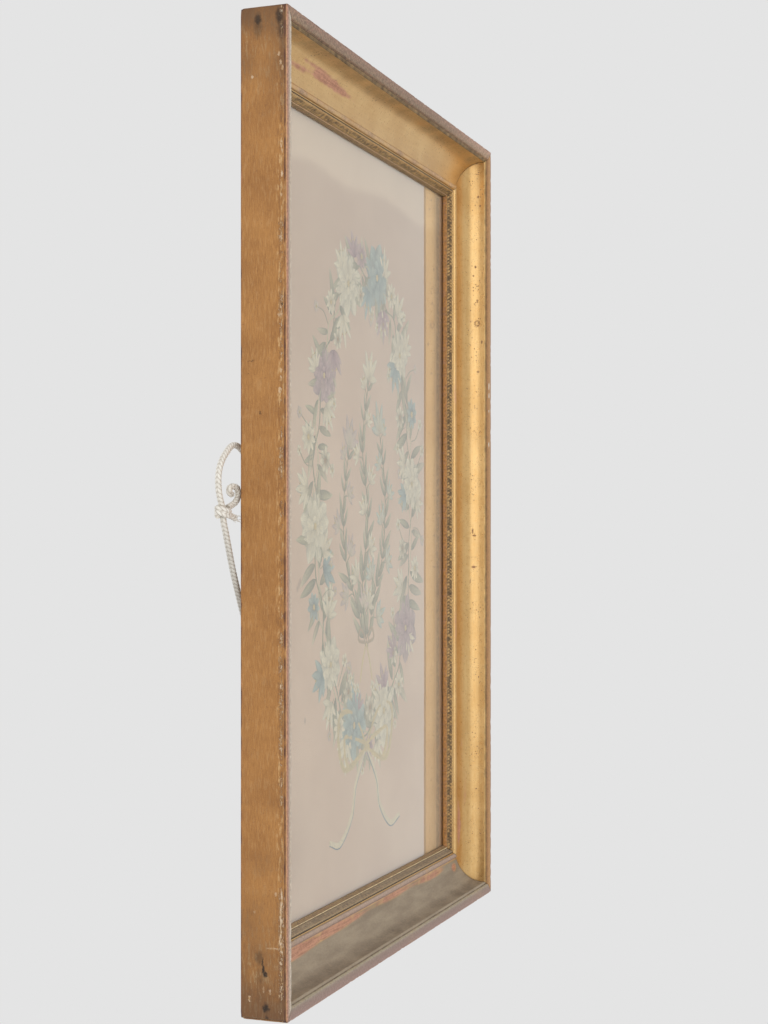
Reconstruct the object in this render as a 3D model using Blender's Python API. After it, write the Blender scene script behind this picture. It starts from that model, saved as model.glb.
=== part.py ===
"""A framed embroidered silk picture, glazed, with a slack cord on its back.

Metres, +Z up. +X is to the right seen from the front, the front faces -Y and the wall is towards +Y.
The origin is on the rails' back plane, on the centre line, where a wall hook takes the top rail.

A place on the frame is worked out from three measures:
across is inward from the frame's outer edge, and depth is back from the frame's front plane.
"""

import math

import bmesh
import bpy
from mathutils import Vector

# Overall size
FRAME_WIDTH = 0.457
FRAME_HEIGHT = 0.650
FRAME_DEPTH = 0.0328
HOOK_BELOW_TOP = 0.013
CLEARANCE = 0.0003

# Outer rail: a worn flat lip, a small step, a wide cove and a thin bead
LIP_WEAR = 0.0008
LIP_WIDTH = 0.0080
LIP_FALL = 0.0004
STEP_WIDTH = 0.0020
STEP_DEPTH = 0.0026
STEP_TURN = (0.4, 0.85)
COVE_START = 0.0105
COVE_END = 0.0330
COVE_TOP = 0.0035
COVE_FALL = 0.0182
COVE_POWER = 2.4
COVE_STEPS = 12
BEAD_CENTRE = 0.0364
BEAD_DEPTH = 0.0226
BEAD_RADIUS = 0.0022
BEAD_STEPS = 6
BEAD_HALF_ARC = math.radians(66)
GROOVE_START = BEAD_CENTRE + 1.05 * BEAD_RADIUS
GROOVE_DEPTH = 0.0242
REBATE_WALL = 0.0397
BACK_ROUNDING = 0.0012
BACK_ROUNDING_SHARE = 0.3

# Inner moulding: a sloping ornament band and a narrow fillet around the opening
INNER_START = REBATE_WALL + CLEARANCE
INNER_BACK = 0.0292
# Its front, as points (inward from its outer edge, depth), down to the edge of the opening
INNER_FRONT = [
    (0.0000, 0.0228),
    (0.0006, 0.0222),
    (0.0014, 0.0224),
    (0.0026, 0.0240),
    (0.0038, 0.0262),
    (0.0041, 0.0268),
    (0.0052, 0.0274),
    (0.0055, 0.0277),
]

# Flat layers behind the opening
GLASS_THICKNESS = 0.0015
CLOTH_THICKNESS = 0.0012
CLOTH_INSET = 0.0405
BOARD_THICKNESS = 0.0030
BOARD_INSET = 0.0305

# Screw eyes in the side rails' backs
EYE_ACROSS = 0.0250
EYE_HEIGHT = -0.2860
EYE_RING_RADIUS = 0.0034
EYE_WIRE_RADIUS = 0.0010
EYE_RING_DEPTH = FRAME_DEPTH + 0.0050
EYE_SHANK_DEPTH = FRAME_DEPTH - 0.0075
EYE_HOLE_RADIUS = EYE_WIRE_RADIUS + CLEARANCE
EYE_HOLE_LENGTH = 0.0080
EYE_HOLE_SIDES = 12
# Where the wire turns from the shank into the ring: sideways, and behind the rail's back
EYE_TURN_POINTS = [
    (0.0000, 0.0004),
    (0.0003, 0.0009),
    (0.0009, 0.0015),
]
EYE_NECK = math.radians(-60)
EYE_TIP = math.radians(236)
EYE_RING_STEPS = 22

# Cord
CORD_DIAMETER = 0.0041
BOW_POINT_SPACING = 1.2 * CORD_DIAMETER
SLACK_POINT_SPACING = 2.8 * CORD_DIAMETER
TAIL_POINT_SPACING = 0.5 * CORD_DIAMETER

# Routes of the cord's stretches, as points (x, y, z) from one end to the other.
# The bow rises from the left eye, stands out beside the frame and comes down to the knot.
BOW_ROUTE = [
    (-0.2035, 0.0050, -0.2873),
    (-0.2035, 0.0050, -0.2843),
    (-0.2038, 0.0050, -0.2815),
    (-0.2053, 0.0051, -0.2783),
    (-0.2083, 0.0053, -0.2754),
    (-0.2127, 0.0055, -0.2727),
    (-0.2175, 0.0057, -0.2700),
    (-0.2224, 0.0057, -0.2668),
    (-0.2280, 0.0057, -0.2655),
    (-0.2338, 0.0057, -0.2668),
    (-0.2396, 0.0057, -0.2700),
    (-0.2464, 0.0057, -0.2743),
    (-0.2516, 0.0057, -0.2805),
    (-0.2530, 0.0057, -0.2881),
    (-0.2517, 0.0057, -0.2956),
    (-0.2484, 0.0058, -0.3018),
    (-0.2447, 0.0059, -0.3059),
]
# The slack stretch hangs from the knot across the back and rises to the right eye.
SLACK_ROUTE = [
    (-0.2412, 0.0058, -0.3174),
    (-0.2390, 0.0057, -0.3226),
    (-0.2339, 0.0057, -0.3341),
    (-0.2279, 0.0057, -0.3475),
    (-0.2209, 0.0057, -0.3607),
    (-0.2085, 0.0057, -0.3819),
    (-0.1905, 0.0057, -0.4091),
    (-0.1685, 0.0057, -0.4372),
    (-0.1405, 0.0057, -0.4658),
    (-0.1085, 0.0057, -0.4897),
    (-0.0685, 0.0057, -0.5081),
    (-0.0235, 0.0057, -0.5150),
    (0.0215, 0.0057, -0.5081),
    (0.0615, 0.0057, -0.4897),
    (0.0935, 0.0057, -0.4658),
    (0.1215, 0.0057, -0.4372),
    (0.1435, 0.0057, -0.4091),
    (0.1620, 0.0057, -0.3786),
    (0.1768, 0.0057, -0.3504),
    (0.1880, 0.0058, -0.3268),
    (0.1965, 0.0058, -0.3080),
    (0.2016, 0.0054, -0.2955),
    (0.2033, 0.0051, -0.2895),
    (0.2035, 0.0050, -0.2866),
    (0.2035, 0.0050, -0.2845),
]
# The knot's longer end curls back on itself, and its cut end is short.
CURL_ROUTE = [
    (-0.2348, 0.0060, -0.3082),
    (-0.2310, 0.0056, -0.3070),
    (-0.2265, 0.0047, -0.3049),
    (-0.2236, 0.0042, -0.3019),
    (-0.2228, 0.0040, -0.2986),
    (-0.2248, 0.0042, -0.2954),
    (-0.2297, 0.0048, -0.2945),
    (-0.2325, 0.0056, -0.2960),
    (-0.2313, 0.0063, -0.2985),
    (-0.2270, 0.0066, -0.2997),
]
CUT_END_ROUTE = [
    (-0.2347, 0.0055, -0.3129),
    (-0.2315, 0.0047, -0.3138),
    (-0.2278, 0.0040, -0.3150),
]

# Knots: node, centre and half sizes
KNOTS = [
    ("cord_knot", (-0.2417, 0.0059, -0.3112), (0.0068, 0.0050, 0.0048)),
    ("cord_knot_left", (-0.2035, 0.0050, -0.2917), (0.0041, 0.0040, 0.0040)),
    ("cord_knot_right", (0.2035, 0.0050, -0.2801), (0.0041, 0.0040, 0.0040)),
]
KNOT_RINGS = 10
KNOT_SIDES = 14
KNOT_WRAPS = 2
KNOT_SLANT = 3
KNOT_GROOVE = 0.12
CURVE_PARTS = 24

TOP_Z = HOOK_BELOW_TOP
CENTRE_Z = HOOK_BELOW_TOP - FRAME_HEIGHT / 2

# Colour, roughness and metallic value of each material
FINISHES = {
    "gilt": ((0.50, 0.30, 0.10), 0.42, 0.55),
    "gilt_ornament": ((0.42, 0.25, 0.09), 0.45, 0.50),
    "glass": ((0.92, 0.95, 0.94), 0.02, 0.0),
    "silk": ((0.54, 0.46, 0.40), 0.60, 0.0),
    "board": ((0.34, 0.24, 0.15), 0.80, 0.0),
    "brass": ((0.55, 0.40, 0.16), 0.35, 1.0),
    "cord": ((0.82, 0.79, 0.72), 0.85, 0.0),
}


def clear_scene():
    for old in list(bpy.data.objects):
        bpy.data.objects.remove(old, do_unlink=True)


def finish(name):
    """The material of that name, made the first time it is asked for."""
    made = bpy.data.materials.get(name)
    if made is None:
        colour, roughness, metallic = FINISHES[name]
        made = bpy.data.materials.new(name)
        made.use_nodes = True
        shader = made.node_tree.nodes["Principled BSDF"]
        shader.inputs["Base Color"].default_value = (*colour, 1.0)
        shader.inputs["Roughness"].default_value = roughness
        shader.inputs["Metallic"].default_value = metallic
    return made


def add_object(name, data, finish_name):
    thing = bpy.data.objects.new(name, data)
    bpy.context.collection.objects.link(thing)
    thing.data.materials.append(finish(finish_name))
    return thing


def depth_to_y(depth):
    return depth - FRAME_DEPTH


def cove_points():
    """The cove's hollow, a rounded quarter that is steep under the lip and nearly flat at the bead."""
    points = []
    for step in range(COVE_STEPS + 1):
        turn = math.pi / 2 * step / COVE_STEPS
        across = COVE_END - (COVE_END - COVE_START) * math.cos(turn) ** (2 / COVE_POWER)
        depth = COVE_TOP + COVE_FALL * math.sin(turn) ** (2 / COVE_POWER)
        points.append((across, depth))
    return points


def bead_points():
    """The thin bead between the cove and the groove."""
    points = []
    for step in range(BEAD_STEPS + 1):
        turn = BEAD_HALF_ARC * (2 * step / BEAD_STEPS - 1)
        across = BEAD_CENTRE + BEAD_RADIUS * math.sin(turn)
        depth = BEAD_DEPTH - BEAD_RADIUS * math.cos(turn)
        points.append((across, depth))
    return points


def rail_outline():
    """The outer rail's section, as points (across, depth)."""
    front = [
        (0.0, LIP_WEAR),
        (LIP_WEAR, 0.0),
        (LIP_WIDTH, LIP_FALL),
        (LIP_WIDTH + STEP_TURN[0] * STEP_WIDTH, STEP_TURN[1] * STEP_DEPTH),
        (LIP_WIDTH + STEP_WIDTH, STEP_DEPTH),
    ]
    groove = [
        (GROOVE_START, GROOVE_DEPTH),
        (REBATE_WALL, GROOVE_DEPTH),
    ]
    cut = BACK_ROUNDING_SHARE * BACK_ROUNDING
    back = [
        (REBATE_WALL, FRAME_DEPTH),
        (BACK_ROUNDING, FRAME_DEPTH),
        (cut, FRAME_DEPTH - cut),
        (0.0, FRAME_DEPTH - BACK_ROUNDING),
    ]
    return front + cove_points() + bead_points() + groove + back


def inner_outline():
    """The inner moulding's section, as points (across, depth)."""
    front = [(INNER_START + inward, depth) for inward, depth in INNER_FRONT]
    sight_edge = front[-1][0]
    return front + [(sight_edge, INNER_BACK), (INNER_START, INNER_BACK)]


# Each side of the frame: the place of its outer edge's middle, its direction, its inward direction, its length
def frame_sides():
    half_width = FRAME_WIDTH / 2
    return {
        "top": (Vector((0, 0, TOP_Z)), Vector((1, 0, 0)), Vector((0, 0, -1)), FRAME_WIDTH),
        "bottom": (
            Vector((0, 0, TOP_Z - FRAME_HEIGHT)),
            Vector((1, 0, 0)),
            Vector((0, 0, 1)),
            FRAME_WIDTH,
        ),
        "left": (
            Vector((-half_width, 0, CENTRE_Z)),
            Vector((0, 0, 1)),
            Vector((1, 0, 0)),
            FRAME_HEIGHT,
        ),
        "right": (
            Vector((half_width, 0, CENTRE_Z)),
            Vector((0, 0, 1)),
            Vector((-1, 0, 0)),
            FRAME_HEIGHT,
        ),
    }


def mitred_length(name, outline, side, finish_name):
    """A length of moulding along one side, cut at 45 degrees at both ends."""
    middle, along, inward, length = side
    saw_gap = CLEARANCE / math.sqrt(2)
    body = bmesh.new()
    rings = []
    for end in (-1, 1):
        ring = []
        for across, depth in outline:
            reach = end * (length / 2 - across - saw_gap)
            place = middle + along * reach + inward * across
            place.y = depth_to_y(depth)
            ring.append(body.verts.new(place))
        rings.append(ring)
    count = len(outline)
    for i in range(count):
        j = (i + 1) % count
        body.faces.new((rings[0][i], rings[0][j], rings[1][j], rings[1][i]))
    for ring in rings:
        body.faces.new(ring)
    bmesh.ops.recalc_face_normals(body, faces=body.faces)
    mesh = bpy.data.meshes.new(name)
    body.to_mesh(mesh)
    body.free()
    return add_object(name, mesh, finish_name)


def flat_layer(name, inset, front_depth, thickness, finish_name):
    """A rectangular sheet parallel to the front, that far inside the frame's outer edges."""
    body = bmesh.new()
    bmesh.ops.create_cube(body, size=1.0)
    size = (FRAME_WIDTH - 2 * inset, thickness, FRAME_HEIGHT - 2 * inset)
    bmesh.ops.scale(body, vec=size, verts=body.verts)
    middle = Vector((0, depth_to_y(front_depth + thickness / 2), CENTRE_Z))
    bmesh.ops.translate(body, vec=middle, verts=body.verts)
    mesh = bpy.data.meshes.new(name)
    body.to_mesh(mesh)
    body.free()
    return add_object(name, mesh, finish_name)


def drill(rail, name, x):
    """A blind pilot hole for a screw eye in a rail's back."""
    body = bmesh.new()
    bmesh.ops.create_cone(
        body,
        cap_ends=True,
        segments=EYE_HOLE_SIDES,
        radius1=EYE_HOLE_RADIUS,
        radius2=EYE_HOLE_RADIUS,
        depth=2 * EYE_HOLE_LENGTH,
    )
    mesh = bpy.data.meshes.new(name)
    body.to_mesh(mesh)
    body.free()
    bit = bpy.data.objects.new(name, mesh)
    bpy.context.collection.objects.link(bit)
    bit.location = (x, 0, EYE_HEIGHT)
    bit.rotation_euler = (math.pi / 2, 0, 0)
    bit.hide_render = True
    bit.display_type = "WIRE"
    cut = rail.modifiers.new("pilot_hole", "BOOLEAN")
    cut.operation = "DIFFERENCE"
    cut.object = bit


def smooth_route(points, spacing):
    """Points that far apart on one smooth curve through the route's own points."""
    curve = [Vector(p) for p in points]
    ends = [2 * curve[0] - curve[1], *curve, 2 * curve[-1] - curve[-2]]
    fine = []
    for before, here, after, beyond in zip(ends, ends[1:], ends[2:], ends[3:]):
        for step in range(CURVE_PARTS):
            t = step / CURVE_PARTS
            bend = 2 * before - 5 * here + 4 * after - beyond
            twist = -before + 3 * here - 3 * after + beyond
            fine.append(here + 0.5 * t * ((after - before) + t * (bend + t * twist)))
    fine.append(curve[-1])
    travelled = [0.0]
    for a, b in zip(fine, fine[1:]):
        travelled.append(travelled[-1] + (b - a).length)
    count = max(2, round(travelled[-1] / spacing))
    route = []
    i = 0
    for step in range(count + 1):
        goal = travelled[-1] * step / count
        while i < len(fine) - 2 and travelled[i + 1] < goal:
            i += 1
        share = (goal - travelled[i]) / max(travelled[i + 1] - travelled[i], 1e-9)
        route.append(fine[i].lerp(fine[i + 1], min(share, 1.0)))
    return route


def tube(name, route, radius, finish_name, resolution=2):
    """A round bar that follows the route's points, closed at both ends."""
    curve = bpy.data.curves.new(name, "CURVE")
    curve.dimensions = "3D"
    curve.bevel_depth = radius
    curve.bevel_resolution = resolution
    curve.use_fill_caps = True
    line = curve.splines.new("POLY")
    line.points.add(len(route) - 1)
    for point, place in zip(line.points, route):
        point.co = (*place, 1.0)
    return add_object(name, curve, finish_name)


def screw_eye(name, x):
    """A wire eye: a straight shank in the wood and a level ring that the cord passes through."""
    middle = Vector((x, depth_to_y(EYE_RING_DEPTH), EYE_HEIGHT))
    route = [Vector((x, depth_to_y(EYE_SHANK_DEPTH), EYE_HEIGHT))]
    for sideways, behind in EYE_TURN_POINTS:
        route.append(Vector((x + sideways, depth_to_y(FRAME_DEPTH + behind), EYE_HEIGHT)))
    for step in range(EYE_RING_STEPS + 1):
        turn = EYE_NECK + (EYE_TIP - EYE_NECK) * step / EYE_RING_STEPS
        route.append(middle + EYE_RING_RADIUS * Vector((math.cos(turn), math.sin(turn), 0)))
    return tube(name, route, EYE_WIRE_RADIUS, "brass")


def knot(name, centre, half_sizes):
    """A tied knot: a rounded lump whose surface dips where one turn meets the next."""
    body = bmesh.new()
    bmesh.ops.create_uvsphere(body, u_segments=KNOT_SIDES, v_segments=KNOT_RINGS, radius=1.0)
    for vert in body.verts:
        around = math.atan2(vert.co.z, vert.co.y)
        dip = math.sin(KNOT_WRAPS * around + KNOT_SLANT * vert.co.x) ** 2
        vert.co *= 1 - KNOT_GROOVE * dip
    bmesh.ops.scale(body, vec=half_sizes, verts=body.verts)
    bmesh.ops.translate(body, vec=centre, verts=body.verts)
    mesh = bpy.data.meshes.new(name)
    body.to_mesh(mesh)
    body.free()
    mesh.shade_smooth()
    return add_object(name, mesh, "cord")


def build_frame():
    rails = {}
    for side_name, side in frame_sides().items():
        rails[side_name] = mitred_length(f"rail_{side_name}", rail_outline(), side, "gilt")
        mitred_length(f"inner_{side_name}", inner_outline(), side, "gilt_ornament")
    return rails


def build_layers():
    glass_front = INNER_BACK + CLEARANCE
    cloth_front = glass_front + GLASS_THICKNESS + CLEARANCE
    flat_layer("glass_pane", INNER_START, glass_front, GLASS_THICKNESS, "glass")
    flat_layer("tapestry", CLOTH_INSET, cloth_front, CLOTH_THICKNESS, "silk")
    flat_layer("backboard", BOARD_INSET, FRAME_DEPTH + CLEARANCE, BOARD_THICKNESS, "board")


def build_hanging(rails):
    for side_name, way in (("left", -1), ("right", 1)):
        x = way * (FRAME_WIDTH / 2 - EYE_ACROSS)
        drill(rails[side_name], f"pilot_hole_{side_name}", x)
        screw_eye(f"screw_eye_{side_name}", x)
    radius = CORD_DIAMETER / 2
    tube("cord_bow", smooth_route(BOW_ROUTE, BOW_POINT_SPACING), radius, "cord")
    tube("cord_slack", smooth_route(SLACK_ROUTE, SLACK_POINT_SPACING), radius, "cord")
    tube("cord_curl", smooth_route(CURL_ROUTE, TAIL_POINT_SPACING), radius, "cord")
    tube("cord_cut_end", smooth_route(CUT_END_ROUTE, TAIL_POINT_SPACING), radius, "cord")
    for name, centre, half_sizes in KNOTS:
        knot(name, centre, half_sizes)


clear_scene()
build_hanging(build_frame())
build_layers()
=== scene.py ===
import math
import random

import bmesh
import bpy
import numpy as np
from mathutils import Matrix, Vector, noise


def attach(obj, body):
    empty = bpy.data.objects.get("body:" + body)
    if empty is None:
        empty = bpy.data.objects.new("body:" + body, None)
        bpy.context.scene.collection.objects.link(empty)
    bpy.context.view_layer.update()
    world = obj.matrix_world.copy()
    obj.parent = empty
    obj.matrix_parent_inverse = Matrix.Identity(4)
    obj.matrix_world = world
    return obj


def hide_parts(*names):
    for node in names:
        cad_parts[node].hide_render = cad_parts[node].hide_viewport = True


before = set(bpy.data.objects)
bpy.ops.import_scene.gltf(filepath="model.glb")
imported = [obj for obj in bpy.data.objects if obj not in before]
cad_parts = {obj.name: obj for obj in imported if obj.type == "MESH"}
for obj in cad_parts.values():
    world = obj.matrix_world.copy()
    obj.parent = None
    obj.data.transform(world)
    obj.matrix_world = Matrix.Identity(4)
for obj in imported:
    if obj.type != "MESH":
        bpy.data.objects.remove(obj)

# Lengths are in millimetres until a mesh is made. A place on the frame is given by along, the distance
# along a side from its middle, across, inward from the outer edge, and depth, back from the front plane.
MM = 0.001
WIDTH = 457.0
HEIGHT = 650.0
DEPTH = 32.8
TOP = 13.0
CENTRE = TOP - HEIGHT / 2
SAW_GAP = 0.3 / math.sqrt(2)
SIDES = ["top", "bottom", "left", "right"]

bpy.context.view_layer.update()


# Helpers for meshes

def add_mesh(name, verts, faces, material, smooth_angle=40):
    """A piece from points in metres."""
    mesh = bpy.data.meshes.new(name)
    mesh.from_pydata([tuple(v) for v in verts], [], [tuple(f) for f in faces])
    body = bmesh.new()
    body.from_mesh(mesh)
    bmesh.ops.recalc_face_normals(body, faces=body.faces)
    body.to_mesh(mesh)
    body.free()
    mesh.shade_smooth()
    mesh.set_sharp_from_angle(angle=math.radians(smooth_angle))
    mesh.materials.append(material)
    piece = bpy.data.objects.new(name, mesh)
    bpy.context.collection.objects.link(piece)
    return piece


def add_values(piece, name, values):
    """A number or a vector for each vertex, which the material reads."""
    values = np.asarray(values, dtype=np.float32)
    kind, key = ("FLOAT", "value") if values.ndim == 1 else ("FLOAT_VECTOR", "vector")
    made = piece.data.attributes.new(name, kind, "POINT")
    made.data.foreach_set(key, values.ravel())


def noise_at(points, scale, shift=0.0):
    """Smooth noise from -1 to 1 at each point."""
    scaled = np.asarray(points) * scale + shift
    return np.array([noise.noise(p) for p in scaled.tolist()])


def ramp(value, low, high):
    """0 below low, 1 above high, smooth between them."""
    share = np.clip((np.asarray(value) - low) / (high - low), 0, 1)
    return share * share * (3 - 2 * share)


def blob(x, y, centre_x, centre_y, half_x, half_y):
    """1 at a spot's centre, falling to 0 around it."""
    return np.exp(-((x - centre_x) / half_x) ** 2 - ((y - centre_y) / half_y) ** 2)


def distances(route):
    """How far along a route each of its points is."""
    return np.concatenate([[0], np.cumsum(np.linalg.norm(np.diff(route, axis=0), axis=1))])


def smooth_route(points, spacing):
    """Points that far apart on one smooth curve through the route's own points."""
    curve = np.array(points, dtype=float)
    ends = np.vstack([2 * curve[0] - curve[1], curve, 2 * curve[-1] - curve[-2]])
    t = np.linspace(0, 1, 40, endpoint=False)[:, None]
    fine = []
    for before, here, after, beyond in zip(ends, ends[1:], ends[2:], ends[3:]):
        bend = 2 * before - 5 * here + 4 * after - beyond
        twist = -before + 3 * here - 3 * after + beyond
        fine.append(here + 0.5 * t * ((after - before) + t * (bend + t * twist)))
    fine = np.vstack(fine + [curve[-1:]])
    travelled = distances(fine)
    count = max(2, round(travelled[-1] / spacing))
    goals = np.linspace(0, travelled[-1], count + 1)
    return np.stack([np.interp(goals, travelled, fine[:, i]) for i in range(3)], axis=1)


def tube_frames(route, closed=False):
    """Two directions across the route at each point, which turn as little as they can."""
    if closed:
        heading = np.roll(route, -1, axis=0) - np.roll(route, 1, axis=0)
    else:
        heading = np.gradient(route, axis=0)
    heading /= np.linalg.norm(heading, axis=1)[:, None]
    start = np.array([0.0, 1.0, 0.0]) if abs(heading[0][1]) < 0.9 else np.array([1.0, 0.0, 0.0])
    side = start - heading[0] * start.dot(heading[0])
    firsts = []
    for way in heading:
        side = side - way * side.dot(way)
        side = side / np.linalg.norm(side)
        firsts.append(side)
    firsts = np.array(firsts)
    return firsts, np.cross(heading, firsts)


def tube_points(route, reach, sides, closed=False):
    """Points of a tube round the route, ring by ring. reach is its radius, or one for each point."""
    first, second = tube_frames(route, closed)
    turn = np.arange(sides) * 2 * math.pi / sides
    cos, sin = np.cos(turn)[None, :, None], np.sin(turn)[None, :, None]
    outward = cos * first[:, None, :] + sin * second[:, None, :]
    return (route[:, None, :] + np.asarray(reach)[..., None] * outward).reshape(-1, 3)


def tube_faces(rings, sides, start=0, closed=False):
    """A tube's faces: quads from ring to ring, and a cap at each end unless it is closed."""
    faces = []
    for i in range(rings if closed else rings - 1):
        here = start + i * sides
        ahead = start + (i + 1) % rings * sides
        for k in range(sides):
            n = (k + 1) % sides
            faces.append([here + k, here + n, ahead + n, ahead + k])
    if not closed:
        last = start + (rings - 1) * sides
        faces.append([start + k for k in range(sides)][::-1])
        faces.append([last + k for k in range(sides)])
    return faces


def grid_faces(rows, columns):
    """The quads of a grid of points, row by row."""
    width = columns + 1
    starts = [r * width + c for r in range(rows) for c in range(columns)]
    return [[a, a + 1, a + width + 1, a + width] for a in starts]


def beside(centre, reach, angle):
    """The place that far from the centre, in that direction."""
    return (centre[0] + reach * math.cos(angle), centre[1] + reach * math.sin(angle))


# Helpers for materials

class Paint:
    """A material's node tree, built up by short calls that return sockets."""

    def __init__(self, name):
        self.material = bpy.data.materials.new(name)
        self.material.use_nodes = True
        self.tree = self.material.node_tree
        self.tree.nodes.clear()

    def node(self, kind, inputs, **settings):
        made = self.tree.nodes.new("ShaderNode" + kind)
        for key, value in settings.items():
            setattr(made, key, value)
        for key, value in inputs.items():
            if isinstance(value, bpy.types.NodeSocket):
                self.tree.links.new(value, made.inputs[key])
            else:
                made.inputs[key].default_value = value
        return made

    def math(self, operation, first, second=0.0):
        return self.node("Math", {0: first, 1: second}, operation=operation).outputs[0]

    def add(self, first, second):
        return self.math("ADD", first, second)

    def times(self, first, second):
        return self.math("MULTIPLY", first, second)

    def total(self, *terms):
        """The sum of sockets, each times its own factor."""
        total = self.times(*terms[0])
        for value, factor in terms[1:]:
            total = self.add(total, self.times(value, factor))
        return total

    def most(self, first, second):
        return self.math("MAXIMUM", first, second)

    def value(self, name):
        return self.node("Attribute", {}, attribute_name=name).outputs["Fac"]

    def vector(self, name):
        return self.node("Attribute", {}, attribute_name=name).outputs["Vector"]

    def parts(self, vector):
        return self.node("SeparateXYZ", {0: vector}).outputs

    def stretch(self, vector, factors):
        return self.node("VectorMath", {0: vector, 1: factors}, operation="MULTIPLY").outputs[0]

    def noise(self, vector, scale, detail=3.0, roughness=0.5, distortion=0.0):
        inputs = {"Vector": vector, "Scale": scale, "Detail": detail}
        inputs |= {"Roughness": roughness, "Distortion": distortion}
        return self.node("TexNoise", inputs).outputs["Fac"]

    def cells(self, vector, scale):
        """Distance to the nearest of many scattered points."""
        return self.node("TexVoronoi", {"Vector": vector, "Scale": scale}).outputs["Distance"]

    def spot(self, vector, centre, factors, low, high):
        """1 inside an ellipse round the centre, 0 outside it."""
        offset = self.node("VectorMath", {0: vector, 1: centre}, operation="SUBTRACT").outputs[0]
        reach = self.node("VectorMath", {0: self.stretch(offset, factors)}, operation="LENGTH").outputs[1]
        return self.ramp(reach, low, high, 1.0, 0.0)

    def ramp(self, value, low, high, start=0.0, end=1.0):
        inputs = {0: value, 1: low, 2: high, 3: start, 4: end}
        return self.node("MapRange", inputs, interpolation_type="SMOOTHSTEP").outputs[0]

    def mix(self, share, first, second):
        """One colour turning into another. A colour is a socket or three numbers."""
        first, second = ((*c, 1.0) if isinstance(c, tuple) else c for c in (first, second))
        return self.node("Mix", {0: share, 6: first, 7: second}, data_type="RGBA").outputs[2]

    def scaled(self, colour, factor):
        """A colour made lighter or darker."""
        return self.node("VectorMath", {0: colour, "Scale": factor}, operation="SCALE").outputs[0]

    def roughened(self, vector, scale, reach):
        """The same places, moved a little at random, so that spots get ragged edges."""
        drift = self.node("TexNoise", {"Vector": vector, "Scale": scale, "Detail": 2.0}).outputs["Color"]
        centred = self.node("VectorMath", {0: drift, 1: (0.5, 0.5, 0.5)}, operation="SUBTRACT").outputs[0]
        moved = self.stretch(centred, (2 * reach, 2 * reach, 2 * reach))
        return self.node("VectorMath", {0: vector, 1: moved}, operation="ADD").outputs[0]

    def blend(self, share, first, second):
        """One number turning into another."""
        return self.node("Mix", {0: share, 2: first, 3: second}, data_type="FLOAT").outputs[0]

    def ridges(self, distance, pitch):
        """Even ridges, that far apart."""
        return self.math("SINE", self.times(distance, 2 * math.pi / pitch))

    def object_place(self):
        """Places on the piece itself, in millimetres."""
        return self.stretch(self.node("TexCoord", {}).outputs["Object"], (1000.0, 1000.0, 1000.0))

    def bump(self, height, distance, strength):
        inputs = {"Height": height, "Distance": distance, "Strength": strength}
        return self.node("Bump", inputs).outputs["Normal"]

    def finish(self, shader):
        output = self.node("OutputMaterial", {})
        self.tree.links.new(shader, output.inputs["Surface"])
        return self.material

    def principled(self, colour, **inputs):
        sockets = {key.replace("_", " "): value for key, value in inputs.items()}
        sockets["Base Color"] = colour
        return self.finish(self.node("BsdfPrincipled", sockets).outputs[0])


class Coats:
    """Colour, metallic value and roughness, with coats laid over each other."""

    def __init__(self, paint, colour, metallic, roughness):
        self.paint = paint
        self.colour = colour
        self.metallic = metallic
        self.roughness = roughness

    def over(self, mask, colour, metallic, roughness):
        self.colour = self.paint.mix(mask, self.colour, colour)
        self.metallic = self.paint.blend(mask, self.metallic, metallic)
        self.roughness = self.paint.blend(mask, self.roughness, roughness)


# Materials

GOLD_DEEP = (0.615, 0.372, 0.140)
GOLD_LIGHT = (0.735, 0.490, 0.212)
BOLE_DARK = (0.30, 0.100, 0.058)
BOLE_LIGHT = (0.62, 0.290, 0.190)
GESSO = (0.76, 0.68, 0.56)
OCHRE_DEEP = (0.290, 0.120, 0.028)
OCHRE_LIGHT = (0.485, 0.230, 0.062)
PALE_FLECK = (0.68, 0.430, 0.195)
DARK_FLECK = (0.165, 0.072, 0.026)
SIDE_SOIL = (0.125, 0.058, 0.024)
RED_SPECK = (0.20, 0.080, 0.035)
DUST_DEEP = (0.285, 0.224, 0.160)
DUST_LIGHT = (0.395, 0.318, 0.228)
BOLE_PATCH = (0.35, 0.180, 0.125)
EDGE_LINE = (0.105, 0.036, 0.017)
CHIP_SHADOW = (0.11, 0.045, 0.020)
CHIP_DEEP = (0.50, 0.30, 0.135)
CHIP_LIGHT = (0.76, 0.61, 0.44)
# Dark brown laid both as dirt and as painted shade in the gilding's hollows
DIRT_AND_SHADE = (0.060, 0.036, 0.018)
SOOT = (0.020, 0.016, 0.013)
WOOD_DEEP = (0.17, 0.092, 0.045)
WOOD_LIGHT = (0.36, 0.225, 0.125)

# Where the left and the right side's places along start in the coordinates that the gilding reads
LEFT_PLACE = 2000.0
RIGHT_PLACE = 3000.0

# Marks on the left side face: place along, place in depth, half length, half depth, strength
DARK_MARKS = [
    (316.0, 20.4, 4.6, 2.5, 0.80),
    (310.0, 20.4, 7.0, 3.6, 0.35),
    (317.5, 5.9, 5.5, 2.6, 0.75),
    (311.0, 4.6, 9.0, 2.4, 0.45),
    (-287.0, 17.0, 3.6, 0.75, 0.75),
    (-291.5, 16.5, 3.4, 1.0, 0.95),
    (-294.8, 15.3, 2.4, 1.2, 0.95),
    (-284.5, 19.5, 5.0, 3.4, 0.45),
    (-296.0, 18.8, 7.0, 4.6, 0.28),
    (-316.4, 14.8, 3.4, 2.7, 0.92),
    (-323.5, 14.4, 3.4, 1.5, 0.65),
    (97.7, 25.2, 0.45, 3.2, 0.55),
    (64.2, 18.8, 1.0, 1.0, 0.60),
    (90.1, 27.2, 0.8, 0.6, 0.50),
    (133.5, 3.6, 1.0, 0.9, 0.80),
]
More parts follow.
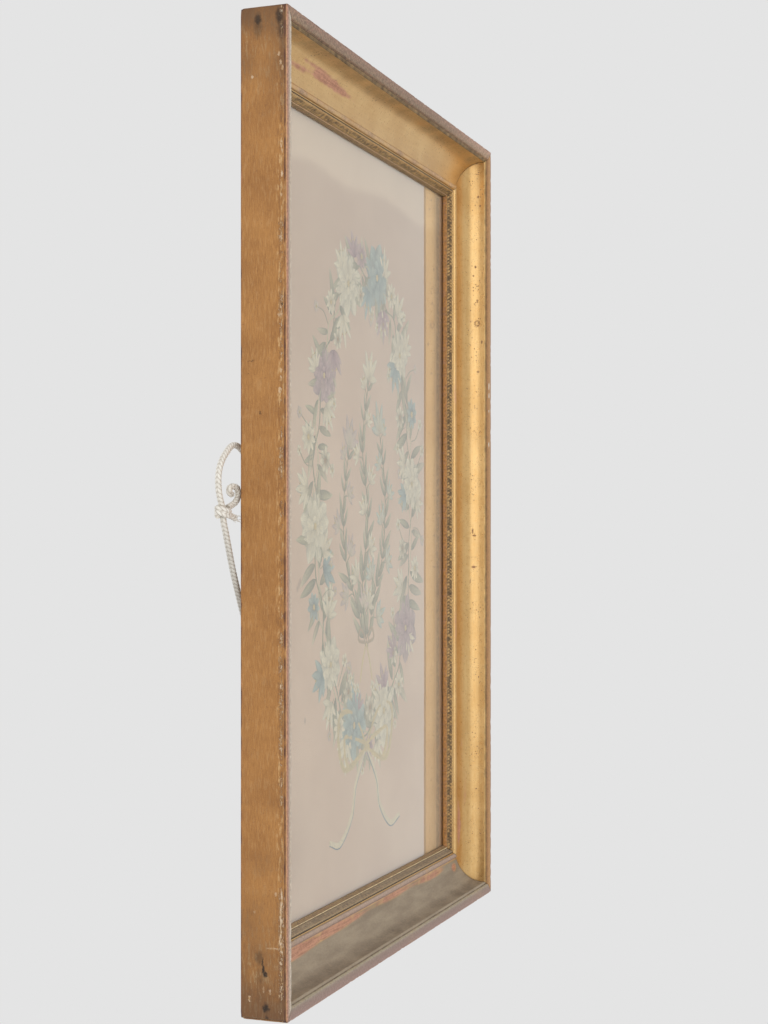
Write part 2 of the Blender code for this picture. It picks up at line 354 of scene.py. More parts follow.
PALE_MARKS = [
    (293.0, 5.6, 1.8, 0.9, 0.7),
    (287.5, 4.4, 2.0, 0.8, 0.8),
    (284.0, 3.4, 1.8, 0.8, 0.8),
    (235.6, 3.9, 2.6, 0.9, 0.9),
    (231.0, 3.4, 1.4, 0.7, 0.8),
    (216.6, 3.7, 2.4, 0.8, 0.9),
    (203.0, 3.9, 1.2, 0.6, 0.7),
    (126.6, 4.8, 2.6, 1.9, 0.55),
    (91.2, 4.0, 1.4, 0.8, 0.9),
    (86.0, 4.3, 2.2, 0.7, 0.9),
    (78.5, 5.0, 2.4, 1.3, 0.9),
    (279.7, 24.4, 1.0, 0.9, 0.75),
    (-311.0, 26.4, 2.3, 0.8, 0.8),
    (-305.7, 11.9, 2.4, 0.8, 0.50),
    (-304.6, 16.4, 2.8, 0.7, 0.40),
    (-277.8, 9.8, 0.8, 4.6, 0.50),
    (-243.0, 7.8, 1.6, 0.9, 0.55),
    (-255.0, 22.5, 1.4, 1.0, 0.30),
]
# The crack in the left side face, from its lower end: place along, depth
CRACK = [
    (-300.0, 2.6), (-283.0, 2.7), (-279.5, 3.85), (-275.3, 4.5), (-272.4, 5.4), (-268.9, 4.4), (-266.0, 4.5),
    (-258.4, 4.4), (-253.1, 4.7), (-247.3, 3.6), (-240.9, 3.85), (-239.2, 4.5), (-230.0, 4.2),
]

# Red spots on the right cove: place along, depth, half length, half depth
RED_SPOTS = [
    (314.0, 9.4, 1.3, 1.0),
    (284.2, 8.6, 1.4, 0.9),
    (276.4, 7.0, 1.1, 0.9),
    (223.0, 10.9, 1.4, 1.0),
    (215.3, 12.5, 1.1, 0.9),
    (193.2, 9.4, 1.5, 0.9),
    (157.1, 5.4, 1.7, 1.2),
    (149.4, 18.3, 0.9, 0.8),
    (131.2, 8.6, 1.3, 1.2),
    (-8.0, 13.2, 2.6, 0.7),
    (-12.0, 11.8, 1.0, 1.8),
    (-39.5, 12.5, 0.9, 2.4),
    (-52.0, 15.0, 3.0, 0.6),
]
RED_RING = (173.6, 9.4)
RED_ACROSS = 11.5

# Chips down to the gesso on the right lip: place along, across, half length, half width
LIP_CHIPS = [(118.6, 6.0, 3.4, 1.3), (110.7, 6.0, 2.6, 1.2), (97.0, 6.2, 1.3, 0.9), (67.5, 6.2, 2.6, 1.1)]


def red_spots(p, place, fine):
    """Bole spots and one ring on the right cove."""
    nearby = p.roughened(place, 0.9, 0.8)
    centre = (RIGHT_PLACE + RED_RING[0], RED_ACROSS, RED_RING[1])
    wide = p.spot(nearby, centre, (0.34, 0.25, 0.40), 0.8, 1.15)
    inside = p.spot(nearby, centre, (0.34, 0.25, 0.40), 0.35, 0.7)
    spots = p.times(p.math("SUBTRACT", wide, inside), p.ramp(fine, 0.38, 0.55, 0.1, 0.85))
    for spot_along, spot_depth, half_length, half_depth in RED_SPOTS:
        factors = (1 / half_length, 0.25, 1 / half_depth)
        made = p.spot(nearby, (RIGHT_PLACE + spot_along, RED_ACROSS, spot_depth), factors, 0.5, 1.15)
        spots = p.most(spots, p.times(made, p.ramp(fine, 0.3, 0.55, 0.3, 0.8)))
    return spots


def side_chips(p, place, chip, fine, texture, flank, ragged):
    """The chips, and on the left side face the crack, its second strand and the pale marks."""
    present = p.add(p.value("crack"), p.times(texture, 0.8))
    wander = p.times(p.math("SUBTRACT", p.noise(place, 0.22, 1.5), 0.5), 1.6)
    crack = p.math("ABSOLUTE", p.add(p.value("crackoff"), wander))
    crack = p.times(p.ramp(crack, 0.25, 0.80, 1.0, 0.0), p.ramp(present, 0.68, 0.90))
    strand = p.math("ABSOLUTE", p.add(p.add(p.value("crackoff"), 1.8), p.times(wander, -1.2)))
    strand = p.times(p.ramp(strand, 0.15, 0.50, 0.7, 0.0), p.ramp(present, 0.88, 1.02))
    chip = p.most(chip, p.most(p.times(crack, 0.9), strand))
    for mark_along, mark_depth, half_length, half_depth, strength in PALE_MARKS:
        factors = (1 / half_length, 0.0, 1 / half_depth)
        mark = p.spot(ragged, (LEFT_PLACE + mark_along, 0.0, mark_depth), factors, 0.75, 1.05)
        chip = p.most(chip, p.times(mark, p.ramp(fine, 0.35, 0.6, 0.5 * strength, strength)))
    return p.times(chip, p.ramp(p.add(p.times(flank, 2.0), p.value("chip")), 0.0, 0.05))


def side_face(p, place, middle, broad, texture, lines):
    """Colour of the outer side faces: matt ochre with pale and dark streaks, soiled towards the corners."""
    grit = p.noise(place, 2.2, 3.0, 0.6)
    shade = p.total((lines, 0.45), (broad, 0.25), (grit, 0.30))
    ochre = p.mix(p.ramp(shade, 0.36, 0.64), OCHRE_DEEP, OCHRE_LIGHT)
    streaks = p.noise(p.stretch(place, (0.17, 1.0, 1.0)), 0.62, 3.0, 0.62)
    flecks = p.value("flecks")
    pale = p.times(p.ramp(streaks, 0.51, 0.61), p.ramp(middle, 0.36, 0.56, 0.25, 1.0))
    ochre = p.mix(p.times(pale, flecks), ochre, PALE_FLECK)
    dark = p.times(p.ramp(streaks, 0.34, 0.46, 0.75, 0.0), flecks)
    ochre = p.mix(dark, ochre, DARK_FLECK)
    streaky = p.total((streaks, 0.55), (texture, 0.45))
    soil = p.ramp(p.add(p.value("soil"), p.times(streaky, 1.1)), 0.62, 1.30, 0.0, 0.85)
    return p.mix(soil, ochre, SIDE_SOIL)


def dark_specks(p, place):
    """Scattered specks in two sizes, in loose groups."""
    spot = p.ramp(p.cells(place, 0.42), 0.14, 0.26, 1.0, 0.0)
    spot = p.times(spot, p.ramp(p.noise(place, 0.10, 2.0), 0.48, 0.58))
    small_spot = p.ramp(p.cells(place, 1.0), 0.16, 0.30, 1.0, 0.0)
    small_spot = p.times(small_spot, p.ramp(p.noise(place, 0.14, 2.0), 0.47, 0.60))
    return p.times(p.most(spot, p.times(small_spot, 0.75)), p.value("specks"))


def worn_skin(p, place):
    """Colour of the worn lips and beads: each vertex has its own, mottled where the rail says so."""
    skin = p.vector("skin")
    mottled = p.scaled(skin, p.ramp(p.noise(place, 0.55, 4.0, 0.85), 0.38, 0.62, 0.55, 1.48))
    patches = p.ramp(p.noise(place, 0.40, 3.0, 0.7), 0.50, 0.64, 0.0, 0.55)
    return p.mix(p.value("mottle"), skin, p.mix(patches, mottled, BOLE_PATCH))


def gilding(name, marked):
    """Old water gilding: burnished leaf, rubbed to the red bole, chipped to the gesso, dirty and darkened
    with painted shade in its hollows.

    A marked one has the single marks of the lists above."""
    p = Paint(name)
    place = p.vector("place")
    fine = p.noise(place, 1.6, 4.0, 0.6)
    middle = p.noise(place, 0.33, 4.0, 0.6)
    broad = p.noise(place, 0.035, 3.0, 0.5)
    streak = p.noise(p.stretch(place, (0.05, 1.0, 1.0)), 0.8, 4.0, 0.65)
    texture = p.total((fine, 0.55), (middle, 0.45))

    def laid(attribute, low, high):
        """Where a coat lies: an attribute's value, broken up by the texture."""
        return p.ramp(p.add(p.value(attribute), p.times(texture, 0.5)), low, high)

    tone = p.total((streak, 0.25), (broad, 0.40), (middle, 0.35))
    leaf_colour = p.mix(p.ramp(tone, 0.36, 0.64), GOLD_DEEP, GOLD_LIGHT)
    coats = Coats(p, leaf_colour, 0.80, p.ramp(middle, 0.3, 0.7, 0.27, 0.36))

    flank = p.value("flank")
    lines = p.noise(p.stretch(place, (0.09, 1.0, 1.0)), 1.9, 5.0, 0.7)
    coats.over(flank, side_face(p, place, middle, broad, texture, lines), 0.10, 0.60)

    rubbing = p.total((streak, 0.5), (texture, 0.5))
    bole = p.ramp(p.add(p.value("rub"), rubbing), 0.88, 1.18)
    bole_colour = p.mix(p.ramp(rubbing, 0.36, 0.60), BOLE_DARK, BOLE_LIGHT)
    coats.over(p.times(bole, 0.85), bole_colour, 0.08, 0.50)

    specks = dark_specks(p, place)
    if marked:
        specks = p.most(specks, red_spots(p, place, fine))
    coats.over(specks, RED_SPECK, 0.1, 0.6)

    drift = p.noise(p.stretch(place, (0.16, 0.8, 0.8)), 0.16, 3.0, 0.55)
    settled = p.total((drift, 0.7), (p.noise(p.stretch(place, (0.4, 1.0, 1.0)), 0.9, 3.0, 0.6), 0.3))
    coats.over(laid("dust", 0.32, 1.10), p.mix(p.ramp(settled, 0.32, 0.68), DUST_DEEP, DUST_LIGHT), 0.0, 0.85)
    coats.over(laid("worn", 0.55, 0.85), worn_skin(p, place), 0.05, 0.62)
    # Dirt, and painted shade in the hollows, under the lip's step and in the ornament's recesses.
    coats.over(laid("grime_and_shade", 0.40, 1.0), DIRT_AND_SHADE, 0.0, 0.75)
    coats.over(laid("line", 0.70, 1.0), EDGE_LINE, 0.05, 0.55)

    chip_noise = p.noise(p.stretch(place, (0.42, 1.0, 1.0)), 1.15, 3.0, 0.7)
    chipped = p.add(p.value("chip"), p.times(chip_noise, 0.9))
    chip = p.ramp(chipped, 0.90, 1.00, 0.0, 0.8)
    if marked:
        ragged = p.roughened(place, 0.8, 1.1)
        chip = side_chips(p, place, chip, fine, texture, flank, ragged)
    coats.over(p.times(p.ramp(chipped, 0.84, 0.92), 0.6), CHIP_SHADOW, 0.0, 0.8)
    coats.over(chip, p.mix(p.ramp(middle, 0.38, 0.68), CHIP_DEEP, CHIP_LIGHT), 0.0, 0.8)
    if marked:
        for chip_along, chip_across, half_length, half_width in LIP_CHIPS:
            factors = (1 / half_length, 1 / half_width, 0.5)
            bare = p.spot(ragged, (RIGHT_PLACE + chip_along, chip_across, 0.1), factors, 0.75, 1.05)
            coats.over(bare, GESSO, 0.0, 0.8)
        smudged = p.roughened(place, 0.45, 1.8)
        for mark_along, mark_depth, half_length, half_depth, strength in DARK_MARKS:
            factors = (1 / half_length, 0.0, 1 / half_depth)
            mark = p.spot(smudged, (LEFT_PLACE + mark_along, 0.0, mark_depth), factors, 0.35, 1.25)
            mark = p.times(p.times(mark, flank), p.ramp(fine, 0.25, 0.5, strength * 0.6, strength))
            coats.over(mark, SOOT, 0.0, 0.9)

    grain = p.noise(p.stretch(place, (0.02, 1.0, 1.0)), 1.4, 5.0, 0.7)
    coats.over(p.value("wood"), p.mix(p.ramp(grain, 0.3, 0.7), WOOD_DEEP, WOOD_LIGHT), 0.0, 0.85)

    relief = p.total((fine, 0.25), (p.blend(flank, streak, lines), 0.30), (chip, -1.2), (bole, -0.25))
    return p.principled(
        coats.colour,
        Metallic=coats.metallic,
        Roughness=coats.roughness,
        Normal=p.bump(relief, 0.00012, 0.8),
    )


# Distance between the silk's threads, and its small brown spots, as places from the cloth's middle
WARP_PITCH = 0.42
WEFT_PITCH = 0.36
BROWN_SPOTS = [(-135.5, -50.5), (-133.0, -48.0), (-130.5, -45.5), (-122.0, -143.0)]


def silk_cloth():
    """Aged silk taffeta: fine weave with slubs, a pale band, brown stains, painted shade near its edges and a
    few spots.
    """
    p = Paint("silk_cloth")
    place = p.vector("place")
    across = p.noise(p.stretch(place, (0.06, 1.0, 1.0)), 1.7, 4.0, 0.7)
    down = p.noise(p.stretch(place, (1.0, 0.04, 1.0)), 1.7, 4.0, 0.7)
    thread = p.total((across, 0.5), (down, 0.5))
    cloud = p.noise(place, 0.010, 4.0, 0.55)
    base = p.mix(p.ramp(cloud, 0.36, 0.66), (0.665, 0.450, 0.312), (0.745, 0.525, 0.376))
    base = p.mix(p.times(p.ramp(thread, 0.40, 0.62), 0.35), base, (0.80, 0.585, 0.430))
    base = p.mix(p.value("fade"), base, (0.86, 0.68, 0.50))
    # Brown stains, and painted shade along the sight edges and beside the right rail, laid in one brown.
    stain_and_shade = p.times(p.value("stain_and_shade"), p.ramp(p.noise(place, 0.012, 3.0), 0.2, 0.8, 0.7, 1.0))
    base = p.mix(stain_and_shade, base, (0.36, 0.240, 0.172))
    spots = p.ramp(p.cells(place, 0.018), 0.016, 0.030, 1.0, 0.0)
    for mark in BROWN_SPOTS:
        spots = p.most(spots, p.spot(place, (*mark, 0.0), (0.40, 0.30, 0.0), 0.3, 1.1))
    base = p.mix(p.times(spots, 0.40), base, (0.26, 0.17, 0.11))
    weave = p.times(p.ridges(p.parts(place)[0], WARP_PITCH), p.ridges(p.parts(place)[1], WEFT_PITCH))
    weave = p.add(weave, p.times(thread, 1.5))
    return p.principled(
        base,
        Roughness=p.ramp(thread, 0.3, 0.7, 0.50, 0.66),
        Sheen_Weight=0.15,
        Sheen_Roughness=0.4,
        Normal=p.bump(weave, 0.00004, 0.7),
    )


def silk_floss():
    """Floss laid side by side: each stitch has its own shade, and the threads show as fine ridges."""
    p = Paint("silk_floss")
    place = p.vector("place")
    thread = p.vector("thread")
    colour = p.node("Attribute", {}, attribute_name="shade").outputs["Color"]
    strand = p.noise(p.stretch(thread, (1.0, 0.05, 1.0)), 3.2, 3.0, 0.6)
    streaked = p.scaled(colour, p.ramp(strand, 0.30, 0.70, 0.74, 1.12))
    aged = p.mix(p.ramp(p.noise(place, 0.05, 4.0), 0.45, 0.80, 0.0, 0.35), streaked, (0.50, 0.36, 0.22))
    ridges = p.ridges(p.parts(thread)[0], 0.34)
    return p.principled(
        aged,
        Roughness=p.ramp(strand, 0.3, 0.7, 0.36, 0.52),
        Sheen_Weight=0.2,
        Sheen_Roughness=0.4,
        Normal=p.bump(p.add(ridges, p.times(strand, 1.5)), 0.00005, 0.8),
    )


def glass_face():
    """The pane's front: clear, and mirroring what both its faces would."""
    p = Paint("glass_face")
    slope = p.node("LayerWeight", {"Blend": 0.5}).outputs["Facing"]
    one_face = p.add(p.times(p.math("POWER", slope, 5.0), 0.96), 0.04)
    both = p.math("DIVIDE", p.times(one_face, 2.0), p.add(one_face, 1.0))
    clear = p.node("BsdfTransparent", {"Color": (0.975, 0.985, 0.975, 1.0)}).outputs[0]
    smear = p.noise(p.vector("place"), 0.03, 4.0)
    mirror = p.node(
        "BsdfGlossy", {"Color": (1, 1, 1, 1), "Roughness": p.ramp(smear, 0.4, 0.8, 0.0, 0.03)}
    ).outputs[0]
    return p.finish(p.node("MixShader", {0: both, 1: clear, 2: mirror}).outputs[0])


def glass_rest():
    """The pane's edges and back, which the moulding hides."""
    p = Paint("glass_rest")
    return p.finish(p.node("BsdfTransparent", {"Color": (0.97, 0.985, 0.975, 1.0)}).outputs[0])


def old_board():
    """The backboard: planed softwood gone brown, with grain, water marks and dust."""
    p = Paint("old_board")
    place = p.object_place()
    grain = p.noise(p.stretch(place, (1.0, 1.0, 0.03)), 0.45, 6.0, 0.65, 0.6)
    pores = p.noise(p.stretch(place, (1.0, 1.0, 0.02)), 3.5, 3.0, 0.7)
    colour = p.mix(p.ramp(grain, 0.35, 0.68), (0.165, 0.092, 0.045), (0.33, 0.205, 0.110))
    colour = p.mix(p.ramp(pores, 0.55, 0.75, 0.0, 0.6), colour, (0.09, 0.05, 0.027))
    colour = p.mix(p.ramp(p.noise(place, 0.012, 5.0, 0.6), 0.50, 0.62, 0.0, 0.4), colour, (0.40, 0.31, 0.21))
    return p.principled(
        colour,
        Roughness=p.ramp(grain, 0.3, 0.7, 0.74, 0.9),
        Normal=p.bump(p.add(grain, p.times(pores, 0.6)), 0.0003, 0.7),
    )


def old_brass():
    """Brass wire gone brown, brighter where the cord has rubbed it."""
    p = Paint("old_brass")
    place = p.object_place()
    mark = p.noise(place, 0.9, 4.0, 0.6)
    return p.principled(
        p.mix(p.ramp(mark, 0.35, 0.65), (0.20, 0.12, 0.045), (0.58, 0.41, 0.16)),
        Metallic=0.95,
        Roughness=p.ramp(mark, 0.3, 0.7, 0.55, 0.32),
        Normal=p.bump(mark, 0.0001, 0.5),
    )


def nail_steel():
    """Small nails: dark, with brown rust."""
    p = Paint("nail_steel")
    place = p.object_place()
    rust = p.noise(place, 1.2, 4.0, 0.6)
    return p.principled(
        p.mix(p.ramp(rust, 0.4, 0.6), (0.12, 0.10, 0.09), (0.20, 0.085, 0.035)),
        Metallic=p.ramp(rust, 0.4, 0.6, 0.85, 0.2),
        Roughness=p.ramp(rust, 0.4, 0.6, 0.45, 0.85),
        Normal=p.bump(rust, 0.0001, 0.6),
    )


def cotton_cord():
    """White braided cotton, a little grey where it has been handled, with painted shade in the braid's
    hollows and a painted shadow on the hanging slack.
    """
    p = Paint("cotton_cord")
    lay = p.vector("lay")
    fibre = p.noise(p.stretch(lay, (1.0, 0.22, 1.0)), 5.0, 3.0, 0.6)
    soil = p.noise(lay, 0.16, 4.0, 0.6)
    hollow = p.value("hollow")
    colour = p.mix(p.ramp(fibre, 0.3, 0.7), (0.78, 0.735, 0.65), (0.95, 0.92, 0.85))
    colour = p.mix(p.ramp(soil, 0.45, 0.8, 0.0, 0.5), colour, (0.55, 0.50, 0.42))
    # Painted shade in the hollows between the braid's strands.
    colour = p.mix(p.ramp(hollow, 0.25, 0.95, 0.0, 0.70), colour, (0.42, 0.36, 0.29))
    # Painted shadow: darker from 80 mm along the cord onward, over the hanging slack.
    colour = p.scaled(colour, p.ramp(p.parts(lay)[1], 80.0, 125.0, 1.0, 0.76))
    return p.principled(
        colour,
        Roughness=p.ramp(fibre, 0.3, 0.7, 0.75, 0.92),
        Sheen_Weight=0.3,
        Sheen_Roughness=0.5,
        Normal=p.bump(fibre, 0.00018, 0.9),
    )


def studio_floor_paint():
    """The plain pale floor."""
    p = Paint("studio_floor_paint")
    shade = p.noise(p.node("TexCoord", {}).outputs["Object"], 1.5, 3.0)
    return p.principled(p.mix(shade, (0.78, 0.775, 0.765), (0.82, 0.815, 0.805)), Roughness=0.9)


# The outer rails

COVE_START = (10.5, 3.5)
COVE_SPAN = (22.5, 18.2)
COVE_POWER = 2.4
BEAD_CENTRE = (36.4, 22.6)
BEAD_RADIUS = 2.2
RAIL_SPACING = 2.0


def rail_section():
    """The outer rail's section, as points (across, depth)."""
    section = [(0.0, 1.6), (0.04, 1.05), (0.2, 0.5), (0.55, 0.14), (1.1, 0.0), (2.0, 0.01)]
    section += [(3.1, 0.05), (4.2, 0.10), (5.3, 0.18), (6.4, 0.28), (7.3, 0.37), (7.8, 0.46)]
    section += [(8.06, 0.80), (8.2, 1.3), (8.45, 1.85), (8.85, 2.25), (9.4, 2.48), (10.0, 2.6)]
    section += [(10.32, 2.8), (10.46, 3.1)]
    steps = 30
    for step in range(steps + 1):
        turn = math.pi / 2 * step / steps
        across = COVE_START[0] + COVE_SPAN[0] * (1 - math.cos(turn) ** (2 / COVE_POWER))
        depth = COVE_START[1] + COVE_SPAN[1] * math.sin(turn) ** (2 / COVE_POWER)
        section.append((across, depth))
    section.append((33.8, 21.7))
    steps = 14
    for step in range(steps + 1):
        turn = math.radians(66) * (2 * step / steps - 1)
        across = BEAD_CENTRE[0] + BEAD_RADIUS * math.sin(turn)
        section.append((across, BEAD_CENTRE[1] - BEAD_RADIUS * math.cos(turn)))
    section += [(38.6, 22.8), (38.9, 22.95), (39.3, 23.0), (39.65, 23.1)]
    section += [(39.7, 24.2), (39.7, 28.0), (39.7, DEPTH)]
    section += [(34.0 - 6.0 * i, DEPTH) for i in range(6)]
    section += [(2.0, DEPTH), (1.1, 32.78), (0.65, 32.62), (0.3, 32.35), (0.08, 31.95), (0.0, 31.4)]
    section += [(0.0, 29.9 - 2.0 * i) for i in range(14)]
    return section


def section_normals(section):
    """Outward directions at a closed section's points."""
    points = np.array(section)
    tangent = np.roll(points, -1, axis=0) - np.roll(points, 1, axis=0)
    tangent /= np.linalg.norm(tangent, axis=1)[:, None]
    ahead = np.roll(points, -1, axis=0)
    area = np.sum(points[:, 0] * ahead[:, 1] - ahead[:, 0] * points[:, 1])
    turned = np.stack([tangent[:, 1], -tangent[:, 0]], axis=1)
    return turned if area > 0 else -turned


def side_points(side, along, across, depth):
    """Points in metres of a place on one side of the frame."""
    if side in ("top", "bottom"):
        x = along
        z = TOP - across if side == "top" else TOP - HEIGHT + across
    else:
        z = CENTRE + along
        x = -WIDTH / 2 + across if side == "left" else WIDTH / 2 - across
    return np.stack([x, depth - DEPTH, z], axis=-1) * MM


def sweep(name, side, section, spacing, relief, material):
    """A length of moulding, mitred at both ends. relief gives how far each point stands out.

    Returns the piece, and along, across and depth for each vertex."""
    length = WIDTH if side in ("top", "bottom") else HEIGHT
    outline = np.array(section)
    normals = section_normals(section)
    stations = int(length / spacing) | 1
    share = np.linspace(-1, 1, stations)[:, None]
    across = np.broadcast_to(outline[:, 0], (stations, len(section)))
    depth = np.broadcast_to(outline[:, 1], across.shape)
    out = relief(side, share * (length / 2 - across), across, depth)
    across = across + out * normals[None, :, 0]
    depth = depth + out * normals[None, :, 1]
    along = share * (length / 2 - across - SAW_GAP)
    verts = side_points(side, along, across, depth).reshape(-1, 3)
    count = len(section)
    row = np.arange(stations - 1)[:, None] * count
    i = np.arange(count)[None, :]
    j = (i + 1) % count
    quads = np.stack([row + i, row + j, row + j + count, row + i + count], axis=-1).reshape(-1, 4)
    faces = quads.tolist() + [list(range(count)), list(range((stations - 1) * count, stations * count))]
    piece = add_mesh(name, verts, faces, material)
    return piece, along.ravel(), across.ravel(), depth.ravel()


# How deep the front edge and the lip's inner edge are chipped, and how much of a corner's wear shows
EDGE_CHIPS = 0.50
STEP_CHIPS = 0.28
CORNER_SHARE = 0.42
BACK_CORNER_WEAR = 0.6

# How far the outer corners are rubbed round, at each side's lower or left end and at the other
CORNER_WEAR = {"left": (2.6, 1.6), "right": (1.4, 1.8), "top": (1.6, 1.8), "bottom": (2.6, 1.4)}


def rail_relief(side, along, across, depth):
    """Wear on a rail: chips along the front arris, rubbed corners and a side that isn't quite flat."""
    shape = along.shape
    length = WIDTH if side in ("top", "bottom") else HEIGHT
    offset = 1000.0 * SIDES.index(side)
    points = np.stack([along.ravel() + offset, across.ravel(), depth.ravel()], axis=1)
    coarse = noise_at(points, 0.03, 3.7).reshape(shape)
    small = noise_at(points, 0.22, 9.1).reshape(shape)
    tiny = noise_at(points, 0.7, 5.3).reshape(shape)
    arris = ramp(2.6 - np.hypot(across, depth), 0.0, 2.6)
    flank = (across < 0.01) & (depth > 2)
    out = 0.05 * coarse
    out = out - EDGE_CHIPS * arris * ramp(small + 0.4 * tiny, 0.12, 0.55)
    inner_lip = ramp(1.4 - np.hypot(across - 7.9, depth - 0.5), 0.0, 1.4)
    out = out - STEP_CHIPS * inner_lip * ramp(small + 0.4 * tiny, 0.18, 0.6)
    out = out + np.where(flank, 0.10 * coarse + 0.07 * small + 0.03 * tiny, 0.0)
    lip = (across > 1.5) & (across < 7.5) & (depth < 1)
    out = out + np.where(lip, 0.05 * small, 0.0)
    out = np.minimum(out, 0.12)
    low_wear, high_wear = CORNER_WEAR[side]
    wear = np.where(along < 0, low_wear, high_wear)
    to_end = np.clip(length / 2 - np.abs(along), 0, wear)
    rounding = wear - np.sqrt(np.maximum(wear ** 2 - (wear - to_end) ** 2, 0))
    out = out - CORNER_SHARE * rounding * ramp(1.3 - across, 0.0, 1.2)
    near_end = ramp(5.0 - length / 2 + np.abs(along), 0.0, 5.0)
    return out - BACK_CORNER_WEAR * near_end * ramp(depth, 31.0, 32.3) * ramp(1.6 - across, 0.0, 1.2)


# Rubbed spots on the coves: side, along, across, half length, half width, strength
RUBS = [
    ("top", -168, 22.4, 30, 2.4, 0.56),
    ("top", -114, 19.4, 34, 3.6, 0.92),
    ("top", -72, 20.4, 26, 2.4, 0.44),
    ("top", -150, 16.0, 30, 1.2, 0.46),
    ("top", -20, 21.0, 14, 3.0, 0.30),
    ("top", 40, 19.0, 30, 2.4, 0.25),
    ("top", 92, 15.8, 5, 2.0, 0.45),
    ("right", -11.5, 12.1, 3.0, 1.3, 0.40),
    ("right", -39.5, 12.1, 4.0, 1.4, 0.38),
    ("right", 176.0, 14.0, 3.6, 2.0, 0.42),
    ("right", 168.5, 14.6, 2.6, 1.6, 0.36),
    ("right", 156.0, 12.0, 3.0, 1.8, 0.36),
    ("right", -199, 22.9, 16, 3.5, 0.50),
    ("right", -236, 18.0, 22, 3.2, 0.56),
    ("right", -262, 27.0, 24, 4.2, 0.84),
    ("bottom", -180, 29.4, 60, 5.4, 0.95),
    ("bottom", -80, 31.0, 60, 4.0, 0.82),
    ("bottom", 35, 31.6, 50, 3.6, 0.72),
    ("bottom", 130, 30.6, 45, 4.4, 0.78),
    ("bottom", 188, 26.5, 9, 5.5, 0.66),
    ("bottom", 40, 11.6, 40, 1.6, 0.42),
    ("left", -180, 20.0, 26, 3.0, 0.45),
    ("left", 60, 24.0, 20, 3.0, 0.40),
    ("left", 210, 18.0, 12, 2.6, 0.40),
]


# The worn lips and beads: places across, the colour at each, and from both a curve for red, green and blue
WORN_ACROSS = {
    "left": (0.0, 1.2, 2.4, 4.0, 5.5, 8.0, 33.0, 35.0, 38.0),
    "right": (0.0, 1.5, 3.0, 4.6, 6.0, 8.0, 33.0, 35.0, 38.0),
    "top": (0.0, 1.5, 4.0, 6.0, 7.2, 8.0, 33.0, 35.0, 38.0),
    "bottom": (0.0, 1.2, 4.0, 6.0, 7.4, 8.0, 33.6, 34.6, 38.0),
}
WORN_COLOURS = {
    "left": [
        (0.40, 0.190, 0.120), (0.44, 0.235, 0.160), (0.41, 0.280, 0.208), (0.50, 0.385, 0.292),
        (0.60, 0.505, 0.400), (0.61, 0.54, 0.44), (0.42, 0.28, 0.17), (0.45, 0.32, 0.22), (0.40, 0.27, 0.16),
    ],
    "right": [
        (0.31, 0.235, 0.22), (0.36, 0.225, 0.155), (0.50, 0.275, 0.130), (0.52, 0.275, 0.105),
        (0.52, 0.28, 0.11), (0.40, 0.21, 0.085), (0.44, 0.29, 0.16), (0.52, 0.34, 0.20), (0.46, 0.30, 0.16),
    ],
    "top": [
        (0.27, 0.160, 0.115), (0.31, 0.190, 0.138), (0.29, 0.190, 0.130), (0.27, 0.187, 0.124),
        (0.25, 0.165, 0.10), (0.22, 0.135, 0.075), (0.50, 0.34, 0.24), (0.52, 0.37, 0.27), (0.40, 0.26, 0.17),
    ],
    "bottom": [
        (0.52, 0.310, 0.210), (0.35, 0.230, 0.195), (0.32, 0.218, 0.182), (0.30, 0.215, 0.175),
        (0.35, 0.280, 0.215), (0.42, 0.355, 0.245), (0.56, 0.45, 0.33), (0.37, 0.250, 0.205),
        (0.46, 0.34, 0.26),
    ],
}
WORN_TONES = {
    side: [(WORN_ACROSS[side], [colour[i] for colour in colours]) for i in range(3)]
    for side, colours in WORN_COLOURS.items()
}
# How mottled each rail's worn lip is, how dark the ledge under its step is from dirt and painted shade, and
# how worn its bead
MOTTLE = {"left": 0.6, "right": 0.35, "top": 1.0, "bottom": 0.35}
LEDGE_GRIME_AND_SHADE = {"left": 0.25, "right": 0.34, "top": 0.56, "bottom": 0.08}
BEAD_WEAR = {"left": 0.30, "right": 0.22, "top": 0.42, "bottom": 0.62}


